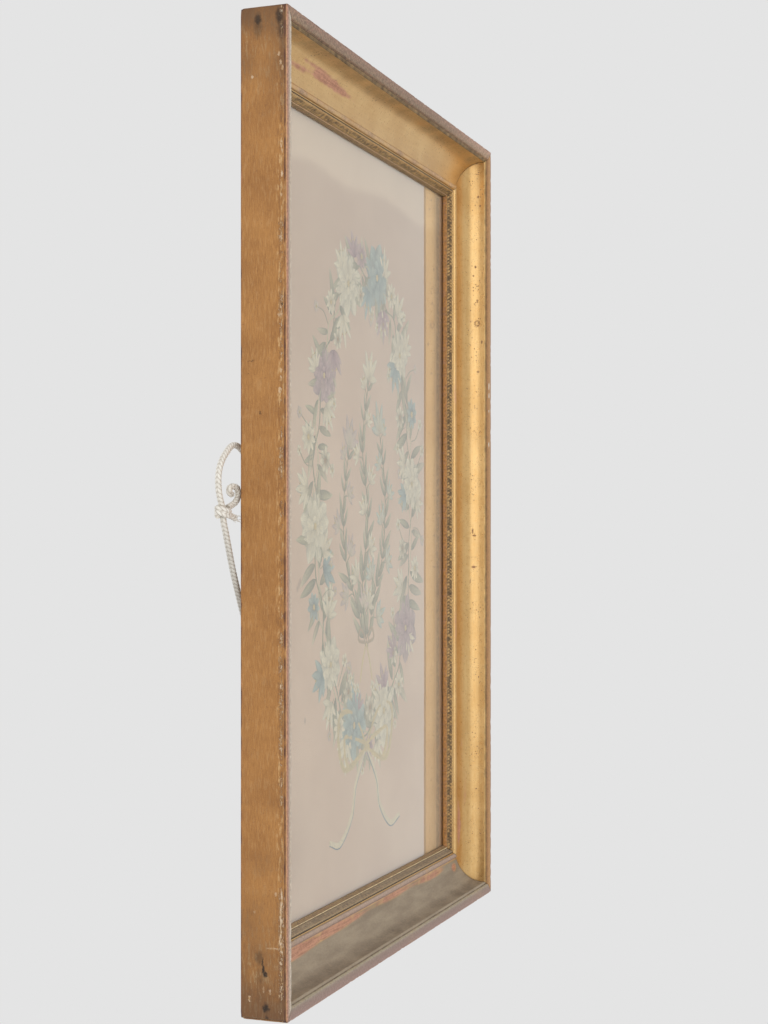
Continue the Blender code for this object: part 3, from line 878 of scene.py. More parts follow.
def rail_values(side, along, across, depth):
    """What the gilding reads at each vertex."""
    offset = 1000.0 * SIDES.index(side)
    place = np.stack([along + offset, across, depth], axis=1)
    coarse = noise_at(place, 0.02, 1.3)
    patch = noise_at(place, 0.06, 7.7)
    length = WIDTH if side in ("top", "bottom") else HEIGHT
    to_mitre = length / 2 - across - np.abs(along)
    behind = (depth > DEPTH - 0.15) & (across > 0.5)
    rebate = (across > 39.0) & (depth > 24.0)
    flank = ramp(1.4 - across, 0.0, 0.3) * ramp(depth, 0.5, 1.1) * (~behind)
    bead = ramp(across, 33.6, 34.6) * ramp(38.9 - across, 0.0, 0.6) * (depth < 23.5)

    small = noise_at(place, 0.16, 4.4)
    rubbed = np.zeros(len(along))
    for spot_side, spot_along, spot_across, half_length, half_width, strength in RUBS:
        if spot_side == side:
            here = blob(along, across, spot_along, spot_across, half_length, half_width)
            rubbed = rubbed + strength * here
    rub = np.maximum(0.08 + 0.12 * patch, bead * (0.34 + 0.2 * coarse)) + rubbed * (0.92 + 0.35 * small)
    rub = rub * (1 - flank) + flank * (-0.2 + 0.62 * ramp(depth, 29.0, 31.6))

    skin = np.stack([np.interp(across, *tones) for tones in WORN_TONES[side]], axis=1)
    if side == "top":
        skin = skin * (1 + 0.55 * ramp(along, 60, 228))[:, None]
    worn = (0.62 + 0.10 * coarse) * ramp(8.9 - across, 0.0, 0.3) * (depth < 2.4) * (1 - flank)
    worn = worn + BEAD_WEAR[side] * bead * (1 + 0.3 * patch)

    line = flank * (0.72 + 0.30 * small) * ramp(1.15 - np.abs(depth - 1.7), 0.0, 0.7)
    line = line + flank * (0.55 + 0.25 * small) * ramp(depth, 30.7, 31.7)
    line = line + flank * (0.62 + 0.20 * small) * ramp(2.6 - to_mitre, 0.0, 2.2)

    dust = 0.10 + 0.10 * patch
    if side == "bottom":
        dust = np.maximum(dust, 0.80 * ramp(across, 8.3, 8.8) * ramp(35 - across, 0, 3))
    dust = dust * (~behind) * (1 - flank) * (1 - 0.9 * ramp(rubbed, 0.40, 0.66))

    # Dirt and painted shade: the groove beside the inner moulding is darkened for both, the step's face under
    # the lip is painted shadow, the ledge below it is dark with dirt and painted shade, and the mitre joints
    # are dark.
    groove = 0.78 * ramp(across, 38.9, 39.3) * (depth < 24.5)
    drop = ramp(across, 8.1, 8.5) * ramp(9.6 - across, 0.0, 0.7) * (depth > 1.0)
    ledge = ramp(across, 8.5, 9.0) * ramp(3.6 - depth, 0.0, 0.4)
    mitre = ramp(1.4 - to_mitre, 0.0, 1.4) * 0.36
    ledge_grime_and_shade = (LEDGE_GRIME_AND_SHADE[side] + 0.15 * small) * ledge
    grime_and_shade = np.maximum.reduce([0.9 * groove, (0.52 + 0.12 * small) * drop, ledge_grime_and_shade, mitre])
    # Painted shade in the crease where the cove meets the flat by the bead.
    grime_and_shade = grime_and_shade + 0.14 * blob(across, depth, 33.8, 21.8, 0.5, 0.6)
    # Painted shade on the steep part of the cove under the lip of the top and bottom rails.
    if side in ("top", "bottom"):
        deepest = 0.34 if side == "bottom" else 0.36
        grime_and_shade = np.maximum(grime_and_shade, (deepest + 0.10 * patch) * ramp(17.5 - across, 0.0, 6.0) * (depth > 3.4))
    grime_and_shade = grime_and_shade * (1 - 0.5 * flank)

    soil = 0.26 * ramp(28 - to_mitre, 0, 28) + 0.20 * ramp(110 - to_mitre, 0, 90) + 0.20 * patch
    if side in ("left", "right"):
        soil = soil + 0.22 * ramp(-along, 60, 320) + 0.16 * ramp(along, 190, 300)
    soil = soil + 0.18 * ramp(2.6 - np.abs(depth - 3.0), 0.0, 2.0)

    near_arris = ramp(3.4 - np.abs(depth - 4.0), 0.0, 2.2)
    near_foot = ramp(75 - to_mitre, 0, 60) * np.where(along < 0, 1.0, 0.45)
    chip = flank * 0.40 * near_arris * (0.62 + 0.38 * ramp(coarse + small, -0.3, 0.4)) + 0.12 * flank
    chip = chip + 0.12 * ramp(1.5 - np.hypot(across, depth), 0, 1.5)
    crack_place = np.interp(along, *zip(*CRACK))
    on_crack = ramp(along, -286, -278) * ramp(-232 - along, 0, 14)
    specks = 0.30 + 0.70 * ramp(20 - across, 0, 8) * ramp(across, 10.2, 11)
    return {
        "place": place,
        "rub": rub,
        "skin": skin,
        "worn": worn,
        "line": line,
        "dust": dust,
        "grime_and_shade": grime_and_shade,
        "soil": soil,
        "mottle": np.full(len(along), MOTTLE[side]),
        "flecks": 0.16 + 0.80 * np.maximum(near_foot, 0.80 * near_arris),
        "chip": chip,
        "crackoff": depth - crack_place,
        "crack": flank * (0.12 + 0.42 * on_crack),
        "specks": specks,
        "flank": flank,
        "wood": np.maximum(behind, rebate).astype(float),
    }


def build_rails():
    gilt = gilding("worn_gilding", marked=True)
    section = rail_section()
    for side in SIDES:
        piece, along, across, depth = sweep(
            f"moulding_{side}", side, section, RAIL_SPACING, rail_relief, gilt
        )
        for name, values in rail_values(side, along, across, depth).items():
            add_values(piece, name, values)
        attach(piece, "root")
        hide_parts(f"rail_{side}")


# The inner mouldings: a running ornament of small leaves and a narrow fillet

LEAF_PITCH = 2.8
ORNAMENT_SPACING = 0.5


def inner_section(side):
    section = [(40.0, 22.9), (40.2, 22.5), (40.6, 22.25), (41.0, 22.22)]
    steps = 12
    for step in range(steps + 1):
        share = step / steps
        section.append((41.3 + 2.4 * share, 22.35 + 3.95 * share ** 1.15))
    edge = 46.3 if side == "bottom" else 45.5
    back = 29.7 if side == "right" else 29.4
    section += [(43.85, 26.6), (43.95, 26.55), (44.1, 26.35), (44.35, 26.28), (44.6, 26.38), (44.75, 26.65)]
    section += [(45.0, 27.4), (45.3, 28.2), (edge, 28.9), (edge, back)]
    return section + [(42.7, back), (40.0, 29.2), (40.0, 26.0)]


def inner_relief(side, along, across, depth):
    """Height of the running ornament: small slanting leaves in two rows that meet, like laurel."""
    offset = 700.0 * SIDES.index(side)
    share = np.clip((across - 41.2) / 2.6, 0, 1)
    on_band = ramp(across, 41.1, 41.7) * ramp(43.85 - across, 0, 0.45) * (depth < 26.7)
    shape = along.shape
    points = np.stack([along.ravel() + offset, across.ravel(), depth.ravel()], axis=1)
    drift = noise_at(points * (1.0, 0.2, 0.2), 0.11, 2.1).reshape(shape)
    worn = ramp(noise_at(points, 0.35, 8.3), -0.35, 0.30).reshape(shape)
    turn = along / LEAF_PITCH + 0.95 * np.abs(share - 0.5) + 0.35 * drift
    upper = share > 0.5
    cell = np.floor(turn + 0.5 * upper)
    f = turn + 0.5 * upper - cell - 0.5
    wobble = np.sin(cell * 12.9898 + offset + 5.1 * upper) * 43758.5453
    wobble = wobble - np.floor(wobble)
    row = np.abs(np.sin(2 * np.pi * np.clip(share, 0.02, 0.98))) ** 0.6
    leaf = np.clip(1 - (f / (0.30 + 0.16 * wobble)) ** 2, 0, 1) ** 0.6 * (0.45 + 0.55 * wobble)
    return on_band * (0.72 * leaf * row * (0.35 + 0.65 * worn) - 0.40)


# Colours of the inner moulding's ornament, outer ridge, inner ridge and sight edge
INNER_TONES = {
    "left": ((0.38, 0.24, 0.10), (0.45, 0.31, 0.16), (0.50, 0.34, 0.17), (0.34, 0.19, 0.075)),
    "right": ((0.36, 0.205, 0.072), (0.44, 0.29, 0.130), (0.36, 0.225, 0.095), (0.385, 0.172, 0.042)),
    "top": ((0.34, 0.215, 0.085), (0.36, 0.235, 0.11), (0.50, 0.32, 0.18), (0.25, 0.155, 0.06)),
    "bottom": ((0.33, 0.255, 0.165), (0.24, 0.19, 0.12), (0.74, 0.60, 0.38), (0.27, 0.175, 0.078)),
}


def inner_values(side, along, across, depth):
    """What the gilding reads at each vertex."""
    place = np.stack([along + 1000.0 * SIDES.index(side) + 5000.0, across, depth], axis=1)
    high = inner_relief(side, along, np.clip(across, 40, 45.5), np.minimum(depth, 26.0))
    patch = noise_at(place, 0.05, 2.2)
    band = ramp(across, 41.0, 41.4) * ramp(44.1 - across, 0, 0.3)
    ridge = ramp(across, 44.0, 44.15) * ramp(44.75 - across, 0.0, 0.2) * (depth < 27)
    face = ramp(across, 44.55, 44.8) * (depth > 26.5)
    band_tone, outer_tone, ridge_tone, face_tone = INNER_TONES[side]
    skin = np.where((across < 41.2)[:, None], outer_tone, ridge_tone)
    skin = np.where((face > 0.5)[:, None], face_tone, skin)
    skin = np.where((band > 0.5)[:, None], band_tone, skin)
    # Dirt over the ornament band, and painted shade in the hollows between its leaves and on the moulding's
    # outer side in the gap to the rail.
    even = 0.24 if side in ("top", "bottom") else 0.29
    deep = 0.20 if side == "bottom" else 0.32
    grime_and_shade = band * (even + deep * ramp(-high, -0.02, 0.38)) + 0.7 * ramp(40.3 - across, 0, 0.3)
    zero = np.zeros(len(along))
    values = dict.fromkeys(("line", "soil", "flecks", "crack", "flank"), zero)
    return values | {
        "place": place,
        "rub": 0.12 + 0.16 * band * ramp(high, 0.05, 0.25) + 0.14 * ramp(patch, 0.0, 0.4),
        "skin": skin,
        "worn": 0.60 * ridge + 0.64 * face + 0.60 * ramp(41.25 - across, 0.0, 0.2) + 0.42 * band,
        "mottle": zero + 0.8,
        "dust": 0.14 + (0.50 if side == "bottom" else 0.0) * band,
        # Painted shade in the corner at the foot of the inner ridge.
        "grime_and_shade": grime_and_shade + 0.35 * blob(across, depth, 43.85, 26.6, 0.25, 0.35),
        "chip": zero + 0.02,
        "crackoff": zero + 10,
        "specks": zero + 0.4,
        "wood": (depth > 29.0).astype(float) * (across < 45.3),
    }


def build_inner():
    gilt = gilding("worn_ornament_gilding", marked=False)
    for side in SIDES:
        piece, along, across, depth = sweep(
            f"ornament_{side}", side, inner_section(side), ORNAMENT_SPACING, inner_relief, gilt
        )
        for name, values in inner_values(side, along, across, depth).items():
            add_values(piece, name, values)
        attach(piece, "root")
        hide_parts(f"inner_{side}")


# Glass, cloth and board

def slab(name, half_size, front, back, spacing, material, wave):
    """A flat layer with a grid on its front face. wave says how far back each of the grid's points moves."""
    half_width, half_height = half_size
    columns = round(2 * half_width / spacing)
    rows = round(2 * half_height / spacing)
    x_places = np.linspace(-half_width, half_width, columns + 1)
    p, q = np.meshgrid(x_places, np.linspace(-half_height, half_height, rows + 1))
    front_points = np.stack([p, front + wave(p, q) - DEPTH, q + CENTRE], axis=-1).reshape(-1, 3)
    corners = [(-1, -1), (1, -1), (1, 1), (-1, 1)]
    back_points = [(x * half_width, back - DEPTH, z * half_height + CENTRE) for x, z in corners]
    verts = np.vstack([front_points, back_points])
    width = columns + 1
    base = len(front_points)
    bottom = list(range(0, width))
    top = list(range(rows * width, (rows + 1) * width))
    left = [r * width for r in range(rows + 1)]
    right = [r * width + columns for r in range(rows + 1)]
    faces = grid_faces(rows, columns)
    faces.append(bottom + [base + 1, base])
    faces.append(top[::-1] + [base + 3, base + 2])
    faces.append(left[::-1] + [base, base + 3])
    faces.append(right + [base + 2, base + 1])
    faces.append([base, base + 1, base + 2, base + 3])
    piece = add_mesh(name, verts * MM, faces, material)
    p, q = verts[:, 0], verts[:, 2] - CENTRE
    add_values(piece, "place", np.stack([p, q, np.zeros(len(p))], axis=1))
    return piece, p, q


GLASS_HALF = (188.5, 285.0)
GLASS_FRONT = 29.55
GLASS_BACK = 31.0
GLASS_SPACING = 7.0
GLASS_BOW = 0.42


def glass_level(p, q):
    """Old glass isn't flat: this pane bows a little towards its right side and is faintly wavy."""
    bow = GLASS_BOW * ramp(p, 105.0, 205.0)
    return bow + 0.012 * np.sin(q / 23.0 + p / 61.0) + 0.010 * np.sin(q / 41.0 - p / 37.0)


def build_glass():
    back = glass_rest()
    pane = slab("pane", GLASS_HALF, GLASS_FRONT, GLASS_BACK, GLASS_SPACING, back, glass_level)[0]
    pane.data.materials.append(glass_face())
    for face in pane.data.polygons:
        if face.normal.y < -0.9:
            face.material_index = 1
    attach(pane, "root")
    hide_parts("glass_pane")


CLOTH_HALF = (188.0, 284.5)
CLOTH_FRONT = 31.85
CLOTH_BACK = 32.4
CLOTH_SPACING = 4.0


def cloth_level(p, q):
    """How far the silk lies behind its mean plane: faint waves."""
    return 0.05 * np.sin(p / 31.0 + 0.8) * np.sin(q / 52.0) + 0.03 * np.sin((p + q) / 17.0)


# Flower and leaf shades, as they are under the glass
CREAM = (0.76, 0.615, 0.405)
IVORY = (0.91, 0.785, 0.575)
SHADED = (0.52, 0.40, 0.23)
YELLOW = (0.70, 0.52, 0.24)
MAUVE = (0.38, 0.185, 0.20)
MAUVE_PALE = (0.62, 0.43, 0.39)
BLUE = (0.23, 0.285, 0.275)
BLUE_PALE = (0.50, 0.55, 0.47)
SLATE = (0.12, 0.16, 0.22)
SAGE = (0.31, 0.265, 0.145)
SAGE_PALE = (0.60, 0.52, 0.32)
TAN = (0.50, 0.33, 0.18)


PAD_ROWS = 8
PAD_COLUMNS = 4
KNOT_SIDES = 8
STEM_SPACING = 1.6


class Stitches:
    """Raised stitches, gathered into one mesh. Places are in the cloth's plane, from its middle."""

    def __init__(self):
        self.verts = []
        self.faces = []
        self.shades = []
        self.threads = []
        self.count = 0

    def add(self, p, q, height, faces, shades, thread_u, thread_v):
        p, q, height = np.asarray(p), np.asarray(q), np.asarray(height)
        depth = CLOTH_FRONT + cloth_level(p, q) - height
        self.verts.append(np.stack([p, depth - DEPTH, q + CENTRE], axis=1))
        self.faces += [[i + self.count for i in face] for face in faces]
        self.shades.append(np.asarray(shades, dtype=float))
        self.threads.append(np.stack([thread_u, thread_v, np.full(len(p), self.count * 0.37 % 50)], axis=1))
        self.count += len(p)

    def pad(self, base, angle, length, width, inner, outer, height, tip, bend=0.0, slant=0.0, crease=0.0):
        """One petal or leaf in satin stitch: a low closed cushion, pointed or round at its tip."""
        rows, columns = PAD_ROWS, PAD_COLUMNS
        t = np.linspace(0, 1, rows + 1)[:, None]
        v = np.linspace(-1, 1, columns + 1)[None, :]
        half = 0.5 * width * np.sin(np.pi * t ** tip) ** 0.75
        half = half + 0.02 * width
        x = length * t + 0 * v
        y = half * v + bend * length * t * t
        lengthwise = np.clip(np.sin(np.pi * np.clip(t, 0.03, 0.97)), 0, 1) ** 0.35
        dome = np.clip(1 - v ** 2, 0, 1) ** 0.5 * lengthwise
        dome = dome * (1 - crease * np.exp(-(v / 0.25) ** 2))
        cos, sin = math.cos(angle), math.sin(angle)
        p = base[0] + x * cos - y * sin
        q = base[1] + x * sin + y * cos
        share = np.clip(t + 0.10 * np.sin(v * 9 + angle * 5), 0, 1)[:, :, None]
        shades = np.array(inner)[None, None, :] * (1 - share) + np.array(outer)[None, None, :] * share
        shades = shades * ((1 - 0.45 * v ** 4) * (0.70 + 0.30 * np.clip(3 * t, 0, 1)))[:, :, None]
        across = half * v
        thread_u = (across + slant * np.abs(across) + slant * x).ravel()
        ring = columns + 1
        rim = list(range(ring))
        rim += [r * ring + columns for r in range(1, rows + 1)]
        rim += [rows * ring + c for c in range(columns - 1, -1, -1)]
        rim += [r * ring for r in range(rows - 1, 0, -1)]
        faces = grid_faces(rows, columns) + [rim[::-1]]
        lift = (height * dome - 0.03).ravel()
        self.add(p.ravel(), q.ravel(), lift, faces, shades.reshape(-1, 3), thread_u, x.ravel())

    def knot(self, centre, radius, shade, height=0.42):
        """A French knot: a small round lump."""
        sides = KNOT_SIDES
        turn = np.arange(sides) * 2 * math.pi / sides
        p, q, h = [], [], []
        for share, level in ((1.0, -0.03), (0.85, 0.6), (0.45, 0.95)):
            p.append(centre[0] + radius * share * np.cos(turn + share))
            q.append(centre[1] + radius * share * np.sin(turn + share))
            h.append(np.full(sides, height * level))
        p = np.append(np.concatenate(p), centre[0])
        q = np.append(np.concatenate(q), centre[1])
        h = np.append(np.concatenate(h), height * 0.86)
        faces = tube_faces(3, sides)[:2 * sides]
        faces += [[2 * sides + i, 2 * sides + (i + 1) % sides, 3 * sides] for i in range(sides)]
        faces.append(list(range(sides))[::-1])
        shades = np.repeat(np.array([shade]), len(p), axis=0)
        self.add(p, q, h, faces, shades, np.hypot(p - centre[0], q - centre[1]) * 1.2, p)

    def line(self, points, width, shade, height=0.22):
        """A stem or outline in stem stitch, along a smooth curve."""
        route = smooth_route([(x, y, 0.0) for x, y in points], STEM_SPACING)[:, :2]
        heading = np.gradient(route, axis=0)
        heading /= np.linalg.norm(heading, axis=1)[:, None]
        sideways = np.stack([-heading[:, 1], heading[:, 0]], axis=1)
        t = np.linspace(0, 1, len(route))
        half = 0.5 * width * (0.35 + 0.65 * np.sin(np.pi * np.clip(t, 0.02, 0.98)) ** 0.4)
        profile = [(-1.0, -0.03), (-0.55, 0.8), (0.0, 1.0), (0.55, 0.8), (1.0, -0.03)]
        p, q, h, u, w = [], [], [], [], []
        travelled = distances(route)
        for side, level in profile:
            place = route + sideways * (half * side)[:, None]
            p.append(place[:, 0])
            q.append(place[:, 1])
            h.append(np.full(len(route), height * level))
            u.append(half * side * 0.8 + travelled * 0.35)
            w.append(travelled)
        p, q, h, u, w = (np.stack(x, axis=1).ravel() for x in (p, q, h, u, w))
        faces = []
        count = len(profile)
        for i in range(len(route) - 1):
            for k in range(count - 1):
                a = i * count + k
                faces.append([a, a + 1, a + count + 1, a + count])
            faces.append([i * count, (i + 1) * count, (i + 1) * count + count - 1, i * count + count - 1])
        faces.append(list(range(count)))
        last = (len(route) - 1) * count
        faces.append([last + k for k in range(count)][::-1])
        shades = np.repeat(np.array([shade]), len(p), axis=0)
        self.add(p, q, h, faces, shades, u, w)

    def make(self, name, material):
        verts = np.vstack(self.verts)
        piece = add_mesh(name, verts * MM, self.faces, material, smooth_angle=60)
        add_values(piece, "place", np.stack([verts[:, 0], verts[:, 2], np.zeros(len(verts))], axis=1))
        add_values(piece, "thread", np.vstack(self.threads))
        add_values(piece, "shade", np.vstack(self.shades))
        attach(piece, "root")
        return piece


def toned(shade, dice, spread=0.06):
    """A shade a little lighter or darker than the one given."""
    factor = 1 + dice.uniform(-spread, spread)
    return tuple(min(1.0, c * factor) for c in shade)


def rose(petals, knots, centre, size, inner, outer, dice):
    """A full rose from above: rings of cupped petals around a coiled heart."""
    start = dice.uniform(0, 2 * math.pi)
    rings = ((9, 0.50, 0.36), (8, 0.40, 0.33), (6, 0.29, 0.29), (5, 0.18, 0.22))
    for ring, (count, reach, share) in enumerate(rings):
        for i in range(count):
            angle = start + ring * 0.45 + 2 * math.pi * i / count + dice.uniform(-0.12, 0.12)
            base = beside(centre, 0.10 * size * (4 - ring) / 4, angle)
            length = reach * size * dice.uniform(0.86, 1.08)
            dark = tuple(c * (0.62 + 0.10 * ring) for c in inner)
            petals.pad(
                base, angle, length, share * size, toned(dark, dice, 0.1), toned(outer, dice, 0.08),
                height=0.20 + 0.09 * ring, tip=1.25, bend=dice.uniform(-0.12, 0.12),
            )
    for i in range(5):
        knots.knot(beside(centre, 0.03 * size, start + i * 1.3), 0.035 * size, toned(YELLOW, dice), 0.55)


def daisy(petals, knots, centre, size, count, inner, outer, heart, dice):
    """An open flower from above: one ring of petals round a heart of knots."""
    start = dice.uniform(0, 2 * math.pi)
    for i in range(count):
        angle = start + 2 * math.pi * i / count + dice.uniform(-0.05, 0.05)
        length = 0.43 * size * dice.uniform(0.88, 1.08)
        petals.pad(
            beside(centre, 0.08 * size, angle), angle, length, 2.3 * size / count,
            toned(inner, dice), toned(outer, dice), height=0.24, tip=0.95,
        )
    for i in range(7):
        reach = 0.0 if i == 6 else 0.06 * size
        knots.knot(beside(centre, reach, i * 2 * math.pi / 6), 0.038 * size, toned(heart, dice))


def lily(petals, knots, base, angle, size, inner, outer, dice):
    """A half-open flower from the side: long pointed petals in a fan."""
    for turn, share in ((-0.95, 0.72), (0.95, 0.72), (-0.50, 0.92), (0.50, 0.92), (0.0, 1.0)):
        way = angle + turn * dice.uniform(0.8, 1.1)
        length = size * share * dice.uniform(0.9, 1.1)
        petals.pad(
            base, way, length, 0.30 * size, toned(inner, dice), toned(outer, dice),
            height=0.22 + 0.06 * share, tip=0.85, bend=0.18 * turn,
        )
    for turn in (-0.25, 0.05, 0.3):
        knots.knot(beside(base, 0.62 * size, angle + turn), 0.8, YELLOW, 0.5)


def leaf(leaves, base, angle, length, shade, pale, dice, bend):
    """A pointed leaf with a crease down its middle."""
    leaves.pad(
        base, angle, length, 0.26 * length, toned(shade, dice, 0.15), toned(pale, dice, 0.15),
        height=0.22, tip=0.80, bend=bend, slant=0.55, crease=0.45,
    )


def spray(petals, leaves, stems, knots, points, inner, outer, dice):
    """A branch along the points: leaves and small flowers by turns on both sides, and a flower at its tip."""
    stems.line(points, 1.3, SAGE)
    route = smooth_route([(x, y, 0.0) for x, y in points], 8.5)
    heading = np.gradient(route, axis=0)
    for k in range(1, len(route) - 1):
        way = 1 if k % 2 else -1
        ahead = math.atan2(heading[k][1], heading[k][0])
        base = (route[k][0], route[k][1])
        fading = 1 - 0.45 * k / len(route)
        if k % 3 == 2:
            turn = ahead + way * dice.uniform(0.6, 0.9)
            reach = 16 * fading
            tip = beside(base, reach, turn)
            stems.line([base, beside(base, 0.5 * reach, ahead + way * 0.3), tip], 0.9, SAGE)
            lily(petals, knots, tip, turn, 21 * fading, inner, outer, dice)
        else:
            for side in (way, -way * 0.6):
                turn = ahead + side * dice.uniform(0.55, 0.95)
                length = 27 * fading * dice.uniform(0.75, 1.15)
                leaf(leaves, base, turn, length, SAGE, SAGE_PALE, dice, -side * 0.15)
    ahead = math.atan2(heading[-1][1], heading[-1][0])
    lily(petals, knots, (route[-1][0], route[-1][1]), ahead, 26, inner, outer, dice)


# The wreath's oval: half its width, half its height, and how far it stands above the cloth's middle
OVAL_X = 104
OVAL_Z = 176
OVAL_RISE = 12


def on_oval(angle, spread=0.0):
    """A place on the wreath, or that far outside it."""
    return ((OVAL_X + spread) * math.cos(angle), OVAL_RISE + (OVAL_Z + spread) * math.sin(angle))


def outward_at(angle, share=1.0):
    """The direction away from the wreath's middle. A lower share turns it towards the sides."""
    return math.atan2(OVAL_Z * math.sin(angle) * share, OVAL_X * math.cos(angle))


FLOWER_ANGLES = [0.1, 0.75, 1.35, 1.95, 2.6, 3.25, 3.9, 4.45, 5.1, 5.7]
FLOWER_SHADES = [(CREAM, IVORY), (CREAM, IVORY), (BLUE, BLUE_PALE), (CREAM, IVORY), (MAUVE, MAUVE_PALE)]


def sew_wreath(petals, leaves, stems, knots, dice):
    """An oval wreath: two stems wound round each other, leaves and four kinds of flower."""
    for reach, width, shade in ((5, 1.7, SAGE), (-5, 1.5, SAGE_PALE)):
        ring = [on_oval(2 * math.pi * i / 40, reach * math.sin(i * 2.4)) for i in range(41)]
        stems.line(ring, width, shade)
    for i in range(150):
        angle = 2 * math.pi * i / 150 + dice.uniform(-0.02, 0.02)
        side = 1 if i % 2 else -1
        way = outward_at(angle, 0.6) + (0 if side > 0 else math.pi) + dice.uniform(-0.9, 0.9) + 0.6
        pale = SAGE_PALE if i % 3 else CREAM
        length = dice.uniform(20, 36)
        leaf(leaves, on_oval(angle, side * 3), way, length, SAGE, pale, dice, dice.uniform(-0.2, 0.2))
    for i, angle in enumerate(FLOWER_ANGLES):
        for k in range(3):
            turn = angle + dice.uniform(-0.22, 0.22)
            side = dice.choice((-1, 1))
            inner, outer = FLOWER_SHADES[(i + k) % len(FLOWER_SHADES)]
            way = outward_at(turn) + (0 if side > 0 else math.pi) + dice.uniform(-0.5, 0.5)
            lily(petals, knots, on_oval(turn, side * 12), way, dice.uniform(20, 27), inner, outer, dice)
    for i, angle in enumerate(FLOWER_ANGLES):
        inner, outer = FLOWER_SHADES[i % len(FLOWER_SHADES)]
        rose(petals, knots, on_oval(angle, dice.uniform(-5, 5)), dice.uniform(36, 47), inner, outer, dice)
    for i, angle in enumerate(FLOWER_ANGLES):
        inner, outer = FLOWER_SHADES[(i + 2) % len(FLOWER_SHADES)]
        outside = on_oval(angle + 0.31, dice.uniform(10, 16))
        daisy(petals, knots, outside, dice.uniform(20, 27), 9, inner, outer, YELLOW, dice)
        inside = on_oval(angle + 0.31 + 0.05, dice.uniform(-20, -14))
        daisy(petals, knots, inside, dice.uniform(17, 23), 7, SHADED, IVORY, TAN, dice)
    for i in range(34):
        angle = dice.uniform(0, 2 * math.pi)
        way = dice.choice((-1, 1))
        centre = on_oval(angle + dice.uniform(-0.08, 0.08), way * dice.uniform(26, 34))
        stems.line([on_oval(angle, way * 6), on_oval(angle, way * 18), centre], 0.8, SAGE)
        outer = IVORY if i % 3 else MAUVE_PALE
        daisy(petals, knots, centre, dice.uniform(8, 11), 5, CREAM, outer, YELLOW, dice)


BRANCHES = [
    ([(1, -98), (-8, -50), (4, 2), (-8, 56), (6, 106)], IVORY),
    ([(3, -98), (16, -62), (38, -24), (42, 24), (30, 66)], BLUE_PALE),
    ([(-1, -98), (-20, -66), (-42, -34), (-48, 8), (-36, 52)], MAUVE_PALE),
]


def sew_branches(petals, leaves, stems, knots, dice):
    """Three branches in the middle, tied at their foot."""
    for points, outer in BRANCHES:
        spray(petals, leaves, stems, knots, points, CREAM, outer, dice)
    for way in (-1, 1):
        stems.line([(0, -92), (way * 12, -84), (way * 16, -92), (0, -95)], 3.0, toned(TAN, dice), 0.28)
        stems.line([(0, -95), (way * 8, -110), (way * 13, -124)], 2.6, toned(YELLOW, dice), 0.28)


def sew_bow(stems, knots, dice):
    """A ribbon bow under the wreath."""
    for way in (-1, 1):
        for reach, lift in ((58, 26), (46, 6)):
            loop = [(0, -172), (way * reach * 0.5, -172 + lift), (way * reach, -168 + lift * 0.7)]
            loop += [(way * reach * 0.8, -186), (0, -175)]
            stems.line(loop, 5.5, toned(YELLOW, dice), 0.3)
        tail = [(0, -174), (way * 22, -200), (way * 30, -222), (way * 54, -240), (way * 76, -236)]
        stems.line(tail, 6.0, toned(CREAM, dice), 0.3)
        stems.line([(x, y - 2.4) for x, y in tail], 1.2, SLATE, 0.34)
    knots.knot((0, -174), 5.0, YELLOW, 0.5)


def cloth_values(p, q):
    """How faded the silk is at each vertex, and how darkened by stains and painted shade."""
    edge = np.minimum(CLOTH_HALF[0] - np.abs(p), CLOTH_HALF[1] - np.abs(q))
    tide = 249 + 3 * np.sin(p / 27.0) - 8 * ramp(-p, 90, 180)
    above = ramp(q, tide - 5, tide + 4)
    # Darker towards the top under the pale band, and painted shade in the strip next to the sight edges.
    stain_and_shade = 0.26 * ramp(q, -20, 230) * (1 - above) + 0.12 * ramp(9 - edge, 0, 6)
    # Painted shade towards the right edge beside the right rail, and a brown stain low on the left.
    stain_and_shade = stain_and_shade + 0.42 * ramp(p, 146, 176) + 0.25 * blob(p, q, -150, -230, 50, 40)
    return 0.20 * ramp(5.0 - edge, 0, 2.0) + 0.42 * above, stain_and_shade


def build_cloth():
    silk = silk_cloth()
    cloth, p, q = slab("silk_ground", CLOTH_HALF, CLOTH_FRONT, CLOTH_BACK, CLOTH_SPACING, silk, cloth_level)
    fade, stain_and_shade = cloth_values(p, q)
    add_values(cloth, "fade", fade)
    add_values(cloth, "stain_and_shade", stain_and_shade)
    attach(cloth, "root")
    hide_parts("tapestry")

    dice = random.Random(7)
    petals, leaves, stems, knots = Stitches(), Stitches(), Stitches(), Stitches()
    sew_wreath(petals, leaves, stems, knots, dice)
    sew_branches(petals, leaves, stems, knots, dice)
    sew_bow(stems, knots, dice)

    floss = silk_floss()
    pieces = [
        petals.make("embroidered_petals", floss),
        leaves.make("embroidered_leaves", floss),
        stems.make("embroidered_stems", floss),
        knots.make("embroidered_knots", floss),
    ]


# The board's nails: their places, x and height from its middle, and their rings, radius and depth
NAIL_PLACES = [(x, z) for x in (-192.0, 192.0) for z in (-250, -150, -50, 50, 150, 250)]
NAIL_PLACES += [(x, z) for z in (-288.5, 288.5) for x in (-120, 0, 120)]
NAIL_RINGS = [(1.5, 36.0), (1.6, 36.5), (1.1, 36.75)]


def build_back():
    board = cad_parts["backboard"]
    board.data.materials.clear()
    board.data.materials.append(old_board())
    verts, faces = [], []
    sides = 10
    for k, (x, z) in enumerate(NAIL_PLACES):
        faces += tube_faces(len(NAIL_RINGS), sides, len(verts))
        for radius, depth in NAIL_RINGS:
            turns = [2 * math.pi * i / sides + k for i in range(sides)]
            rim = [beside((x, z + CENTRE), radius, turn) for turn in turns]
            verts += [(place[0], depth - DEPTH, place[1]) for place in rim]
    nails = add_mesh("board_nails", np.array(verts) * MM, faces, nail_steel())
    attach(nails, "root")


# Cord and eyes

